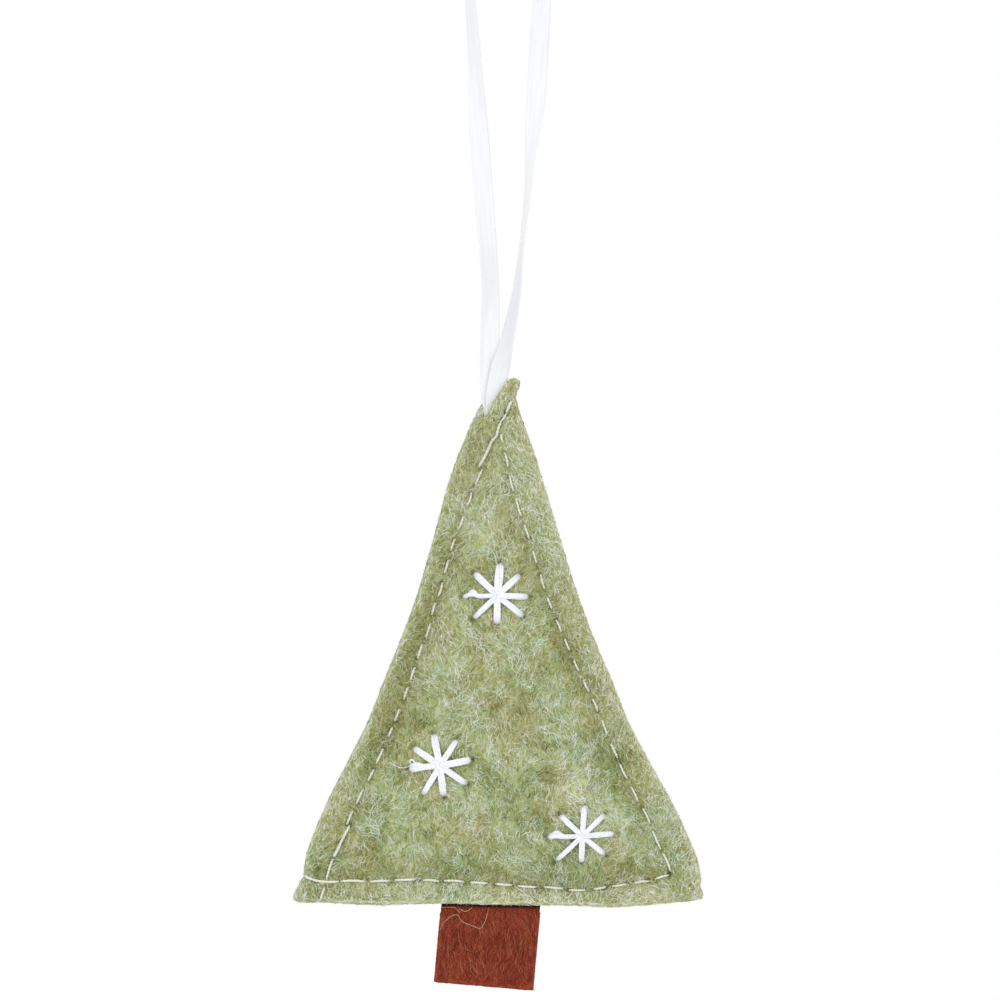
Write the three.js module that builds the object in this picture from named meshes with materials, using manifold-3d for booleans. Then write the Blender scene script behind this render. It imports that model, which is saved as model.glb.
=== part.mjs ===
// A stuffed felt tree ornament that hangs from a ribbon loop.
// Millimetres, +Z up, the front faces -Y. The origin is the hanging point, inside the loop's top.
import * as THREE from "three";
import { mergeVertices } from "three/addons/utils/BufferGeometryUtils.js";
import Module from "manifold-3d";

const wasm = await Module();
wasm.setup();

const CLEARANCE = 0.25; // left between pieces that touch

// Felt tree
const HANG_DROP = 80.8; // hanging point down to the felt tip
const TREE_SHIFT = -1.3; // the tree's centreline, from the hanging point
const TREE_HEIGHT = 87.4; // tip to the lowest point of the base edge
const TREE_WIDTH = 68; // across the base corners
const BASE_SAG = 1.2; // the base edge's middle hangs this far below its corners
const FELT_THICKNESS = 1.6;
const PRESSED_FELT = 1.05; // the same felt under the stitches
const CROWN_HEIGHT = 4.4; // fullest height of the stuffed pocket, over the seam
const CROWN_REACH = 10; // half width of pocket that lets the crown rise to about two thirds
const CROWN_RISE = 7; // height over the base seam that does the same

// Side edges: share of the height down from the tip, share of the half width
const SIDE_SHAPE = [
  [0, 0.05], [0.046, 0.09], [0.115, 0.157], [0.23, 0.255], [0.344, 0.338], [0.458, 0.434],
  [0.573, 0.554], [0.687, 0.684], [0.8, 0.836], [0.878, 0.924], [0.95, 0.982], [1, 1],
];

// Tip: a small round nub that leans right, over shoulders, with a mouth for the ribbon on its left
const NUB_LEAN = 2.35;
const NUB_WIDTH = 2.1;
const NUB_HEIGHT = 3.4;
const SHOULDER_DEPTH = 4.2;
const FRONT_MOUTH_DEPTH = 6.2;
const BACK_MOUTH_DEPTH = 4.1;
const MOUTH_REACH = 2; // the front mouth's corner, left of the centreline

// Seams
const LEFT_INSET = 4.1; // seam to side edge, measured across
const RIGHT_INSET = 5;
const BASE_INSET = 3.7; // seam to base edge
const LEFT_SEAM_TOP = 5.8; // first stitch of the left run, below the tip
const LEFT_SEAM_JOIN = 15; // from here down the left run follows the edge
const SEAM_MEETING_GAP = 2.4; // the right run stops this far from the left run
const STITCH_LENGTH = 4;
const THREAD_DIAMETER = 0.45;
const LEG_SPACING = 0.6; // the two legs of a loop of thread in one needle hole
const SEAM_CHANNEL = 1; // half width of the flat that the stitches press into the felt

// Trunk
const TRUNK_WIDTH = 16.5;
const TRUNK_LENGTH = 12; // below the fold, along its left side
const TRUNK_SLANT = 1.4; // the bottom right corner hangs this far below the bottom left one
const TRUNK_LEAN = 0.08; // sideways shift per millimetre down
const TRUNK_SHIFT = -1.2; // trunk centre from the tree's centreline
const TRUNK_THICKNESS = 1.5;
const ROOT_THICKNESS = 1; // pressed between the panels
const ROOT_OVER_SEAM = 1.9;

// Ribbon
const RIBBON_WIDTH = 3.2;
const RIBBON_THICKNESS = 0.3;
const TAIL_SHIFT = -1.6; // the tails' centre from the tree's centreline
const TAIL_DEPTH = 14.5; // the tails' ends, below the tip
const SWING_OVER_TIP = 1.5; // the fold where the tree swings, above the tip
const NECK_LENGTH = 3.6; // where both legs of the loop come together
const NECK_TOP_WIDTH = 5.8;
const NECK_SHIFT = -2.2; // the neck's bottom centre from the hanging point
const NECK_SLANT = 0.7; // the neck's top centre, right of its bottom centre

// Loop: [x, drop below the hanging point, turn of the ribbon's width from X towards Y in degrees]
const LOOP_ROUTE = [
  [-2.67, 75, 5], [-2.65, 71, 15], [-2.58, 67.5, 24], [-3, 59.2, 22], [-3.67, 50.8, 8], [-4.25, 42.5, 8],
  [-4.83, 34.2, 27], [-5.4, 25.8, 43], [-6, 18.3, 52], [-6.3, 12.5, 66], [-5.9, 6.7, 80], [-3.9, 2, 90],
  [0, 0, 90],
  [3.9, 2, 88], [6, 6.7, 70], [6.35, 12.5, 42], [5.95, 18.3, 18], [5.5, 25.8, 5], [5, 34.2, -16],
  [4.25, 42.5, -48], [3.58, 50.8, -67], [2.6, 59.2, -76], [1.67, 67.5, -62], [0.85, 72, -48], [0.35, 75, -40],
];
const LOOP_STEPS = 54;

// Snowflakes: centre as a share of the half width and of the height, and the turn of the first ray in degrees
const SNOWFLAKES = [
  ["snowflake_top", 0, 0.41, 0],
  ["snowflake_left", -0.284, 0.733, 11],
  ["snowflake_right", 0.412, 0.868, 0],
];
const RAY_COUNT = 8;
const RAY_LENGTH = 5.1;
const RAY_WIDTH = 1.2;
const RAY_THICKNESS = 0.9;
const RAY_EDGE = 0.3; // thickness at the rays' edges
const FLOSS_STEM_RADIUS = 0.8; // the floss that passes through the felt at the centre
const KNOT_RADIUS = 1.3;
const KNOT_THICKNESS = 0.8;

// Wadding
const WADDING_INSET = 3; // from the seams
const WADDING_CLEARANCE = 0.5; // to the panels' inner faces
const WADDING_TOP_WIDTH = 4;
const WADDING_EDGE = 0.5; // thickness at its rim

// How finely curves are cut
const SIDE_POINTS = 18;
const BASE_POINTS = 15;
const INNER_SPACING = 5.6;
const INNER_MARGIN = 2.2;
const OPENING_MARGIN = 6; // felt stays parted this far round what is sewn in
const OPENING_RAMP = 8; // and closes over this length
const THREAD_SIDES = 5;
const STEM_SIDES = 6;
const KNUCKLE_STEPS = 6;

const MATERIALS = {
  greenFelt: new THREE.MeshStandardMaterial({ color: 0x93986a, roughness: 1, metalness: 0 }),
  rustFelt: new THREE.MeshStandardMaterial({ color: 0x7a3a26, roughness: 1, metalness: 0 }),
  wadding: new THREE.MeshStandardMaterial({ color: 0xf0efe8, roughness: 1, metalness: 0 }),
  thread: new THREE.MeshStandardMaterial({ color: 0xe6e2cd, roughness: 0.7, metalness: 0 }),
  floss: new THREE.MeshStandardMaterial({ color: 0xf2f3f8, roughness: 0.6, metalness: 0 }),
  satin: new THREE.MeshStandardMaterial({ color: 0xf3f4fa, roughness: 0.35, metalness: 0 }),
};

// Small geometry helpers

function point(x, depth) {
  return new THREE.Vector2(x, -depth);
}

function mix(a, b, share) {
  return a + (b - a) * THREE.MathUtils.clamp(share, 0, 1);
}

// A smooth function through rising points: cubic pieces, each point's slope taken from its neighbours.
function smoothThrough(points) {
  const last = points.length - 1;
  const slope = (i) => {
    const [x0, y0] = points[Math.max(i - 1, 0)];
    const [x1, y1] = points[Math.min(i + 1, last)];
    return (y1 - y0) / (x1 - x0);
  };
  return (x) => {
    const above = points.findIndex(([px]) => px >= x);
    const i = above < 0 ? last - 1 : Math.max(above - 1, 0);
    const [x0, y0] = points[i];
    const [x1, y1] = points[i + 1];
    const span = x1 - x0;
    const t = (x - x0) / span;
    const rise = t * t * (3 - 2 * t);
    const start = t * (1 - t) * (1 - t);
    const end = t * t * (t - 1);
    return y0 + (y1 - y0) * rise + span * (slope(i) * start + slope(i + 1) * end);
  };
}

function distanceToSegment(p, a, b) {
  const along = b.clone().sub(a);
  const share = THREE.MathUtils.clamp(p.clone().sub(a).dot(along) / along.lengthSq(), 0, 1);
  return p.distanceTo(a.clone().addScaledVector(along, share));
}

function distanceToPath(p, path) {
  let nearest = Infinity;
  for (let i = 1; i < path.length; i += 1) {
    nearest = Math.min(nearest, distanceToSegment(p, path[i - 1], path[i]));
  }
  return nearest;
}

function isInside(p, ring) {
  let inside = false;
  ring.forEach((a, i) => {
    const b = ring[(i + 1) % ring.length];
    const crosses = a.y > p.y !== b.y > p.y;
    if (crosses && p.x < a.x + ((p.y - a.y) / (b.y - a.y)) * (b.x - a.x)) inside = !inside;
  });
  return inside;
}

function turnedArea(a, b, c) {
  return (b.x - a.x) * (c.y - a.y) - (b.y - a.y) * (c.x - a.x);
}

function angleAt(p, a, b) {
  const u = a.clone().sub(p);
  const v = b.clone().sub(p);
  return Math.abs(Math.atan2(u.cross(v), u.dot(v)));
}

// Flips edges shared by two triangles until none has a shorter way across (Delaunay).
function flipEdges(points, triangles) {
  const tolerance = 1e-9;
  let flipped = true;
  while (flipped) {
    flipped = false;
    const edges = new Map();
    for (let t = 0; t < triangles.length && !flipped; t += 1) {
      for (let k = 0; k < 3; k += 1) {
        const a = triangles[t][k];
        const b = triangles[t][(k + 1) % 3];
        edges.set(`${a},${b}`, t);
      }
    }
    const touched = new Set();
    for (const [key, t] of edges) {
      const [a, b] = key.split(",").map(Number);
      const other = edges.get(`${b},${a}`);
      if (other === undefined || touched.has(t) || touched.has(other)) continue;
      const c = triangles[t].find((v) => v !== a && v !== b);
      const d = triangles[other].find((v) => v !== a && v !== b);
      const facing = angleAt(points[c], points[a], points[b]) + angleAt(points[d], points[a], points[b]);
      if (facing <= Math.PI + tolerance) continue;
      triangles[t] = [a, d, c];
      triangles[other] = [d, b, c];
      touched.add(t);
      touched.add(other);
      flipped = true;
    }
  }
}

// Triangles of a flat outline with holes. Each inner point splits the triangle that holds it.
function triangulate(outline, holes, inner) {
  const rim = [outline, ...holes].flat();
  const points = [...rim, ...inner];
  const faces = THREE.ShapeUtils.triangulateShape([...outline], holes.map((hole) => [...hole]));
  const triangles = faces.map(([a, b, c]) =>
    turnedArea(points[a], points[b], points[c]) > 0 ? [a, b, c] : [a, c, b],
  );
  inner.forEach((p, i) => {
    const at = triangles.findIndex((corners) =>
      corners.every((v, k) => turnedArea(points[v], points[corners[(k + 1) % 3]], p) >= 0),
    );
    const [a, b, c] = triangles[at];
    const added = rim.length + i;
    triangles.splice(at, 1, [a, b, added], [b, c, added], [c, a, added]);
  });
  flipEdges(points, triangles);
  return { points, triangles };
}

// A plate over a flat outline: front(x, z) and back(x, z) give the Y of its two faces.
function plate({ outline, holes = [], inner = [], front, back }) {
  const { points, triangles } = triangulate(outline, holes, inner);
  const count = points.length;
  const positions = [];
  points.forEach((p) => positions.push(p.x, front(p), p.y));
  points.forEach((p) => positions.push(p.x, back(p), p.y));
  const edges = new Set();
  triangles.forEach(([a, b, c]) => [[a, b], [b, c], [c, a]].forEach((edge) => edges.add(`${edge}`)));
  const index = [];
  triangles.forEach(([a, b, c]) => index.push(a, b, c, count + a, count + c, count + b));
  edges.forEach((edge) => {
    const [a, b] = edge.split(",").map(Number);
    if (edges.has(`${b},${a}`)) return;
    index.push(b, a, count + a, b, count + a, count + b);
  });
  return surface(positions, index);
}

function surface(positions, index) {
  const geometry = new THREE.BufferGeometry();
  geometry.setAttribute("position", new THREE.Float32BufferAttribute(positions, 3));
  geometry.setIndex(index);
  geometry.computeVertexNormals();
  return geometry;
}

// A closed skin over rings of equal count, with a flat fan on the first and the last.
function loft(rings) {
  const size = rings[0].length;
  const positions = rings.flat().flatMap((p) => [p.x, p.y, p.z]);
  const index = [];
  for (let r = 1; r < rings.length; r += 1) {
    for (let k = 0; k < size; k += 1) {
      const a = (r - 1) * size + k;
      const b = (r - 1) * size + ((k + 1) % size);
      index.push(a, b, b + size, a, b + size, a + size);
    }
  }
  const end = (rings.length - 1) * size;
  for (let k = 2; k < size; k += 1) {
    index.push(0, k, k - 1, end, end + k - 1, end + k);
  }
  return surface(positions, index);
}

// A round tube along straight pieces, mitred at each corner.
function tube(path, radius, sides) {
  const directions = path.slice(1).map((p, i) => p.clone().sub(path[i]).normalize());
  const first = directions[0];
  const helper = Math.abs(first.y) > 0.9 ? new THREE.Vector3(1, 0, 0) : new THREE.Vector3(0, 1, 0);
  const u = new THREE.Vector3().crossVectors(helper, first).normalize();
  const v = new THREE.Vector3().crossVectors(first, u);
  let offsets = Array.from({ length: sides }, (_, k) => {
    const angle = (2 * Math.PI * k) / sides;
    return u.clone().multiplyScalar(radius * Math.cos(angle)).addScaledVector(v, radius * Math.sin(angle));
  });
  const rings = path.map((p, i) => {
    const before = directions[Math.max(i - 1, 0)];
    const after = directions[Math.min(i, directions.length - 1)];
    const mitre = before.clone().add(after).normalize();
    const ring = offsets.map((offset) =>
      p.clone().add(offset).addScaledVector(before, -offset.dot(mitre) / before.dot(mitre)),
    );
    const turn = new THREE.Quaternion().setFromUnitVectors(before, after);
    offsets = offsets.map((offset) => offset.clone().applyQuaternion(turn));
    return ring;
  });
  return loft(rings);
}

// A flat strip whose top edge is round about the X axis at z = 0: the piece that folds there.
function foldingTab({ topLeft, topRight, bottomLeft, bottomRight, thickness }) {
  const radius = thickness / 2;
  const knuckle = Array.from({ length: KNUCKLE_STEPS + 1 }, (_, k) => {
    const angle = (Math.PI * k) / KNUCKLE_STEPS;
    return [-radius * Math.cos(angle), radius * Math.sin(angle)];
  });
  const end = (top, bottom) => [
    ...knuckle.map(([y, z]) => new THREE.Vector3(top.x, y, z)),
    new THREE.Vector3(bottom.x, radius, bottom.y),
    new THREE.Vector3(bottom.x, -radius, bottom.y),
  ];
  return loft([end(topRight, bottomRight), end(topLeft, bottomLeft)]);
}

function toSolid(geometry) {
  const bare = new THREE.BufferGeometry();
  bare.setAttribute("position", geometry.getAttribute("position"));
  bare.setIndex(geometry.getIndex());
  const merged = mergeVertices(bare, 1e-4);
  return new wasm.Manifold(
    new wasm.Mesh({
      numProp: 3,
      vertProperties: merged.getAttribute("position").array,
      triVerts: new Uint32Array(merged.getIndex().array),
    }),
  );
}

function fromSolid(solid) {
  const mesh = solid.getMesh();
  return surface(mesh.vertProperties, [...mesh.triVerts]);
}

function cut(geometry, cutters) {
  return fromSolid(cutters.reduce((solid, cutter) => solid.subtract(toSolid(cutter)), toSolid(geometry)));
}

// Outline and seam lines, from the tip down

const halfWidth = smoothThrough(
  SIDE_SHAPE.map(([down, out]) => [down * TREE_HEIGHT, (out * TREE_WIDTH) / 2]),
);

function baseEdgeDepth(x) {
  const share = x / (TREE_WIDTH / 2);
  return TREE_HEIGHT - BASE_SAG * share * share;
}

function baseSeamDepth(x) {
  return baseEdgeDepth(x) - BASE_INSET;
}

function leftSeamX(depth) {
  const joinX = LEFT_INSET - halfWidth(LEFT_SEAM_JOIN);
  const share = (depth - NUB_HEIGHT) / (LEFT_SEAM_JOIN - NUB_HEIGHT);
  return depth < LEFT_SEAM_JOIN ? NUB_LEAN + (joinX - NUB_LEAN) * share : LEFT_INSET - halfWidth(depth);
}

function rightSeamX(depth) {
  return halfWidth(depth) - RIGHT_INSET;
}

// Where a side seam line meets the base seam line.
function seamCorner(seamX) {
  let depth = TREE_HEIGHT - BASE_INSET;
  for (let pass = 0; pass < 8; pass += 1) depth = baseSeamDepth(seamX(depth));
  return point(seamX(depth), depth);
}

const leftCorner = seamCorner(leftSeamX);
const rightCorner = seamCorner(rightSeamX);

function steps(from, to, count) {
  return Array.from({ length: count + 1 }, (_, k) => from + ((to - from) * k) / count);
}

function firstDepth(from, test) {
  let depth = from;
  while (depth < TREE_HEIGHT && !test(depth)) depth += 0.1;
  return depth;
}

// The panel outline, counter-clockwise seen from the front: base, right side, tip, mouth, left side.
function panelOutline(mouth) {
  const half = TREE_WIDTH / 2;
  const cornerDepth = baseEdgeDepth(half);
  const mouthDepth = -mouth.at(-1).y;
  const base = steps(-half, half, BASE_POINTS).map((x) => point(x, baseEdgeDepth(x)));
  const rightSide = steps(cornerDepth, SHOULDER_DEPTH, SIDE_POINTS).slice(1);
  const leftSide = steps(mouthDepth, cornerDepth, SIDE_POINTS).slice(1, -1);
  const nub = [
    point(NUB_LEAN + 0.24 * NUB_WIDTH, NUB_HEIGHT),
    point(NUB_LEAN + 0.5 * NUB_WIDTH, 0.4 * NUB_HEIGHT),
    point(NUB_LEAN + 0.4 * NUB_WIDTH, 0.12 * NUB_HEIGHT),
    point(NUB_LEAN, 0),
    point(NUB_LEAN - 0.5 * NUB_WIDTH, 0.15 * NUB_HEIGHT),
  ];
  return [
    ...base,
    ...rightSide.map((depth) => point(halfWidth(depth), depth)),
    ...nub,
    ...mouth,
    ...leftSide.map((depth) => point(-halfWidth(depth), depth)),
  ];
}

const lipDepth = FRONT_MOUTH_DEPTH + CLEARANCE;
const frontOutline = panelOutline([
  point(-MOUTH_REACH, FRONT_MOUTH_DEPTH),
  point(-halfWidth(lipDepth), lipDepth),
]);
const backOutline = panelOutline([point(-halfWidth(BACK_MOUTH_DEPTH), BACK_MOUTH_DEPTH)]);

// Stitches

// Needle holes evenly along a line of points, about one stitch apart.
function needleHoles(linePoints) {
  const line = new THREE.SplineCurve(linePoints);
  const count = Math.max(2, Math.round(line.getLength() / STITCH_LENGTH));
  return steps(0, 1, count).map((u) => ({ at: line.getPointAt(u), along: line.getTangentAt(u) }));
}

const meetingDepth = firstDepth(
  LEFT_SEAM_TOP,
  (depth) => rightSeamX(depth) - leftSeamX(depth) > SEAM_MEETING_GAP,
);
const leftSeamEnd = -leftCorner.y + BASE_INSET / 2;
const leftHoles = needleHoles([
  point(leftSeamX(LEFT_SEAM_TOP), LEFT_SEAM_TOP),
  ...steps(LEFT_SEAM_JOIN, leftSeamEnd, SIDE_POINTS).map((depth) => point(leftSeamX(depth), depth)),
]);
const baseHoles = needleHoles(
  steps(leftCorner.x + STITCH_LENGTH / 2, rightCorner.x, BASE_POINTS).map((x) => point(x, baseSeamDepth(x))),
);
const rightHoles = needleHoles(
  steps(-rightCorner.y, meetingDepth, SIDE_POINTS).map((depth) => point(rightSeamX(depth), depth)),
);
const edgeX = leftCorner.x - STITCH_LENGTH / 2;
const edgeHole = { at: point(edgeX, baseSeamDepth(edgeX)), along: baseHoles[0].along };
const cornerHole = {
  at: rightCorner,
  along: baseHoles.at(-1).along.clone().add(rightHoles[0].along).normalize(),
};
const baseRightHoles = [edgeHole, ...baseHoles.slice(0, -1), cornerHole, ...rightHoles.slice(1)];
const allHoles = [...leftHoles, ...baseRightHoles];

function slotOutline({ at, along }) {
  const halfWidthAcross = THREAD_DIAMETER / 2 + CLEARANCE;
  const halfLength = LEG_SPACING / 2 + halfWidthAcross;
  const across = new THREE.Vector2(-along.y, along.x);
  return [[-1, -1], [1, -1], [1, 1], [-1, 1]].map(([s, t]) =>
    at.clone().addScaledVector(along, s * halfLength).addScaledVector(across, t * halfWidthAcross),
  );
}

const slots = allHoles.map(slotOutline);
const seamLines = [leftHoles, baseRightHoles].map((holes) => holes.map(({ at }) => at));

function distanceToSeams(p) {
  return Math.min(...seamLines.map((line) => distanceToPath(p, line)));
}

// Height of the felt over the middle plane

const gapHalf = CLEARANCE / 2;
const tailThickness = 2 * RIBBON_THICKNESS;
const rootTop = -leftCorner.y - ROOT_OVER_SEAM;

// The panels part where the trunk or the ribbon is sewn in between them.
function parting({ x, y }) {
  const besideTrunk = Math.max(0, Math.abs(x - TRUNK_SHIFT) - TRUNK_WIDTH / 2 - OPENING_MARGIN);
  const overTrunk = Math.max(0, rootTop + y - OPENING_MARGIN);
  const trunkShare = Math.hypot(besideTrunk, overTrunk) / OPENING_RAMP;
  const tailShare = Math.max(0, -y - TAIL_DEPTH - OPENING_MARGIN) / OPENING_RAMP;
  return Math.max(
    mix(ROOT_THICKNESS / 2 + CLEARANCE, gapHalf, trunkShare),
    mix(tailThickness / 2 + CLEARANCE, gapHalf, tailShare),
  );
}

// Crown of the stuffed pocket: a parabola across, rising with the pocket's width and off the base seam.
function crown({ x, y }) {
  const depth = -y;
  const left = leftSeamX(depth) + SEAM_CHANNEL;
  const right = rightSeamX(depth) - SEAM_CHANNEL;
  const over = baseSeamDepth(x) - SEAM_CHANNEL - depth;
  const half = (right - left) / 2;
  if (half <= 0 || over <= 0 || x <= left || x >= right) return 0;
  const share = (x - (left + right) / 2) / half;
  const swell = (1 - Math.exp(-half / CROWN_REACH)) * (1 - Math.exp(-over / CROWN_RISE));
  return CROWN_HEIGHT * swell * (1 - share * share);
}

function feltThickness(p) {
  const flat = slotOutline(allHoles[0])[0].distanceTo(allHoles[0].at);
  const share = (distanceToSeams(p) - flat) / Math.max(SEAM_CHANNEL, CLEARANCE);
  return mix(PRESSED_FELT, FELT_THICKNESS, share);
}

function innerHeight(p) {
  return parting(p) + crown(p);
}

function outerHeight(p) {
  return innerHeight(p) + feltThickness(p);
}

// Points on a triangular lattice inside an outline, clear of its edge and of the given paths.
function latticeInside(outline, paths, spacing, margin) {
  const box = new THREE.Box2().setFromPoints(outline);
  const rowHeight = (spacing * Math.sqrt(3)) / 2;
  const rows = Math.floor((box.max.y - box.min.y) / rowHeight);
  const columns = Math.floor((box.max.x - box.min.x) / spacing);
  const closed = [...outline, outline[0]];
  const points = [];
  for (let r = 1; r <= rows; r += 1) {
    for (let c = 0; c <= columns; c += 1) {
      const x = box.min.x + (c + (r % 2) / 2) * spacing;
      const p = new THREE.Vector2(x, box.min.y + r * rowHeight);
      const clear = [closed, ...paths].every((path) => distanceToPath(p, path) > margin);
      if (clear && isInside(p, outline)) points.push(p);
    }
  }
  return points;
}

function circle(centre, radius, sides) {
  return Array.from({ length: sides }, (_, k) => {
    const angle = (2 * Math.PI * k) / sides;
    return new THREE.Vector2(centre.x + radius * Math.cos(angle), centre.y + radius * Math.sin(angle));
  });
}

const snowflakes = SNOWFLAKES.map(([name, across, down, turn]) => ({
  name,
  centre: point((across * TREE_WIDTH) / 2, down * TREE_HEIGHT),
  turn: THREE.MathUtils.degToRad(turn),
}));

// Pieces

function panel(side, outline, centreHoles) {
  const inner = latticeInside(outline, [...seamLines, ...centreHoles], INNER_SPACING, INNER_MARGIN);
  const outward = (p) => side * outerHeight(p);
  const inward = (p) => side * innerHeight(p);
  return plate({
    outline,
    holes: [...slots, ...centreHoles],
    inner,
    front: side < 0 ? outward : inward,
    back: side < 0 ? inward : outward,
  });
}

// One thread of a seam on one side: a straight stitch from hole to hole, and a loop down each hole.
function seamThread(holes, side, lifts) {
  const radius = THREAD_DIAMETER / 2;
  const lock = radius + CLEARANCE / 2;
  const over = (hole) => outerHeight(hole.at) + radius + CLEARANCE;
  const at = ({ at: p, along }, leg, height) =>
    new THREE.Vector3(p.x + along.x * leg, side * height, p.y + along.y * leg);
  const leg = LEG_SPACING / 2;
  const path = [];
  holes.forEach((hole, i) => {
    const arriving = i > 0;
    const leaving = i < holes.length - 1;
    if (arriving) path.push(at(hole, -leg, over(hole) + lifts(i - 1)), at(hole, -leg, lock));
    if (leaving) path.push(at(hole, leg, lock), at(hole, leg, over(hole) + lifts(i)));
  });
  return tube(path, radius, THREAD_SIDES);
}

// The last stitch of the left run passes over the base run.
function leftLift(stitch) {
  return stitch === leftHoles.length - 2 ? THREAD_DIAMETER + CLEARANCE : 0;
}

// Wadding fills the pocket, with a hollow for each floss knot.
function wadding() {
  const left = (depth) => leftSeamX(depth) + WADDING_INSET;
  const right = (depth) => rightSeamX(depth) - WADDING_INSET;
  const top = firstDepth(TAIL_DEPTH + CLEARANCE, (depth) => right(depth) - left(depth) > WADDING_TOP_WIDTH);
  const overBase = Math.max(WADDING_INSET, ROOT_OVER_SEAM + CLEARANCE);
  const bottom = (x) => baseSeamDepth(x) - overBase;
  const cornerOf = (side) => side(bottom(side(-leftCorner.y - overBase)));
  const base = steps(cornerOf(left), cornerOf(right), BASE_POINTS).map((x) => point(x, bottom(x)));
  const rightSide = steps(-base.at(-1).y, top, SIDE_POINTS).slice(1);
  const leftSide = steps(top, -base[0].y, SIDE_POINTS).slice(0, -1);
  const outline = [
    ...base,
    ...rightSide.map((depth) => point(right(depth), depth)),
    ...leftSide.map((depth) => point(left(depth), depth)),
  ];
  const hollowRadius = KNOT_RADIUS + CLEARANCE;
  const hollowDepth = KNOT_THICKNESS + CLEARANCE;
  const hollows = snowflakes.map(({ centre }) => circle(centre, hollowRadius, STEM_SIDES * 2));
  const inner = [
    ...latticeInside(outline, hollows, INNER_SPACING, INNER_MARGIN),
    ...hollows.flat(),
    ...snowflakes.map(({ centre }) => centre),
  ];
  const half = (p) => Math.max(WADDING_EDGE / 2, innerHeight(p) - WADDING_CLEARANCE);
  const inHollow = (p) => snowflakes.some(({ centre }) => centre.distanceTo(p) < hollowRadius + CLEARANCE);
  const front = (p) => -half(p) + (inHollow(p) ? hollowDepth : 0);
  return plate({ outline, inner, front, back: half });
}

// Floss rays that lie on the front panel, joined to a stem through the felt and a knot behind it.
function snowflake({ centre, turn }) {
  const halfRay = RAY_WIDTH / 2;
  const valley = (1.05 * halfRay) / Math.sin(Math.PI / RAY_COUNT);
  const polar = (angle, along, across) =>
    new THREE.Vector2(
      centre.x + Math.cos(angle) * along - Math.sin(angle) * across,
      centre.y + Math.sin(angle) * along + Math.cos(angle) * across,
    );
  const outline = [];
  const ridges = [centre];
  for (let k = 0; k < RAY_COUNT; k += 1) {
    const angle = turn + (2 * Math.PI * k) / RAY_COUNT;
    outline.push(
      polar(angle, RAY_LENGTH - halfRay, -halfRay),
      polar(angle, RAY_LENGTH, 0),
      polar(angle, RAY_LENGTH - halfRay, halfRay),
      polar(angle + Math.PI / RAY_COUNT, valley, 0),
    );
    ridges.push(polar(angle, RAY_LENGTH - RAY_WIDTH, 0), polar(angle, RAY_LENGTH / 2, 0));
  }
  const lifted = (p) => outerHeight(p) + CLEARANCE;
  const rays = plate({
    outline,
    inner: ridges,
    front: (p) => -lifted(p) - (ridges.includes(p) ? RAY_THICKNESS : RAY_EDGE),
    back: (p) => -lifted(p),
  });
  const knotTop = innerHeight(centre) - CLEARANCE;
  const stemEnd = lifted(centre) + RAY_THICKNESS / 2;
  const profile = [
    [0, knotTop - KNOT_THICKNESS], [KNOT_RADIUS, knotTop - KNOT_THICKNESS / 2], [FLOSS_STEM_RADIUS, knotTop],
    [FLOSS_STEM_RADIUS, stemEnd], [0, stemEnd],
  ];
  const stem = new THREE.LatheGeometry(profile.map(([r, h]) => new THREE.Vector2(r, h)), STEM_SIDES * 2);
  stem.rotateZ(Math.PI);
  stem.translate(centre.x, 0, centre.y);
  return fromSolid(toSolid(rays).add(toSolid(stem)));
}

function slotCutter(outline) {
  const reach = 2 * FELT_THICKNESS + ROOT_THICKNESS + tailThickness;
  return plate({ outline, front: () => -reach, back: () => reach });
}

// The trunk felt that is sewn in, with the needle holes that pass through it.
function trunkRoot() {
  const half = TRUNK_WIDTH / 2;
  const left = TRUNK_SHIFT - half;
  const right = TRUNK_SHIFT + half;
  const outline = [
    point(left, TREE_HEIGHT), point(right, TREE_HEIGHT), point(right, rootTop), point(left, rootTop),
  ];
  const body = plate({ outline, front: () => -ROOT_THICKNESS / 2, back: () => ROOT_THICKNESS / 2 });
  return cut(body, baseRightHoles.map(slotOutline).map(slotCutter));
}

// The free part of the trunk, hinged along its round top edge. It is drawn with the hinge at z = 0.
function trunkTab() {
  const half = TRUNK_WIDTH / 2;
  const shift = (drop) => -TRUNK_LEAN * drop;
  const leftDrop = TRUNK_LENGTH;
  const rightDrop = TRUNK_LENGTH + TRUNK_SLANT;
  return foldingTab({
    topLeft: new THREE.Vector2(-half, 0),
    topRight: new THREE.Vector2(half, 0),
    bottomLeft: new THREE.Vector2(-half + shift(leftDrop), -leftDrop),
    bottomRight: new THREE.Vector2(half + shift(rightDrop), -rightDrop),
    thickness: TRUNK_THICKNESS,
  });
}

// Both ribbon tails, one on the other, sewn in at the tip. The fold they swing on is at z = 0.
function ribbonTails() {
  const half = RIBBON_WIDTH / 2;
  const drop = SWING_OVER_TIP + TAIL_DEPTH;
  const body = foldingTab({
    topLeft: new THREE.Vector2(-half, 0),
    topRight: new THREE.Vector2(half, 0),
    bottomLeft: new THREE.Vector2(-half, -drop),
    bottomRight: new THREE.Vector2(half, -drop),
    thickness: tailThickness,
  });
  const holes = allHoles.map(slotOutline).map(slotCutter);
  holes.forEach((hole) => hole.translate(-TAIL_SHIFT, 0, -SWING_OVER_TIP));
  return cut(body, holes);
}

// Where both legs of the loop lie together, above the fold. Its bottom centre is the local origin.
function ribbonNeck() {
  const slab = (z, centre, width) =>
    [[-1, -1], [1, -1], [1, 1], [-1, 1]].map(
      ([s, t]) => new THREE.Vector3(centre + (s * width) / 2, (t * tailThickness) / 2, z),
    );
  const bottomWidth = RIBBON_WIDTH + RIBBON_THICKNESS;
  return loft([slab(0, 0, bottomWidth), slab(NECK_LENGTH, NECK_SLANT, NECK_TOP_WIDTH)]);
}

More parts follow.
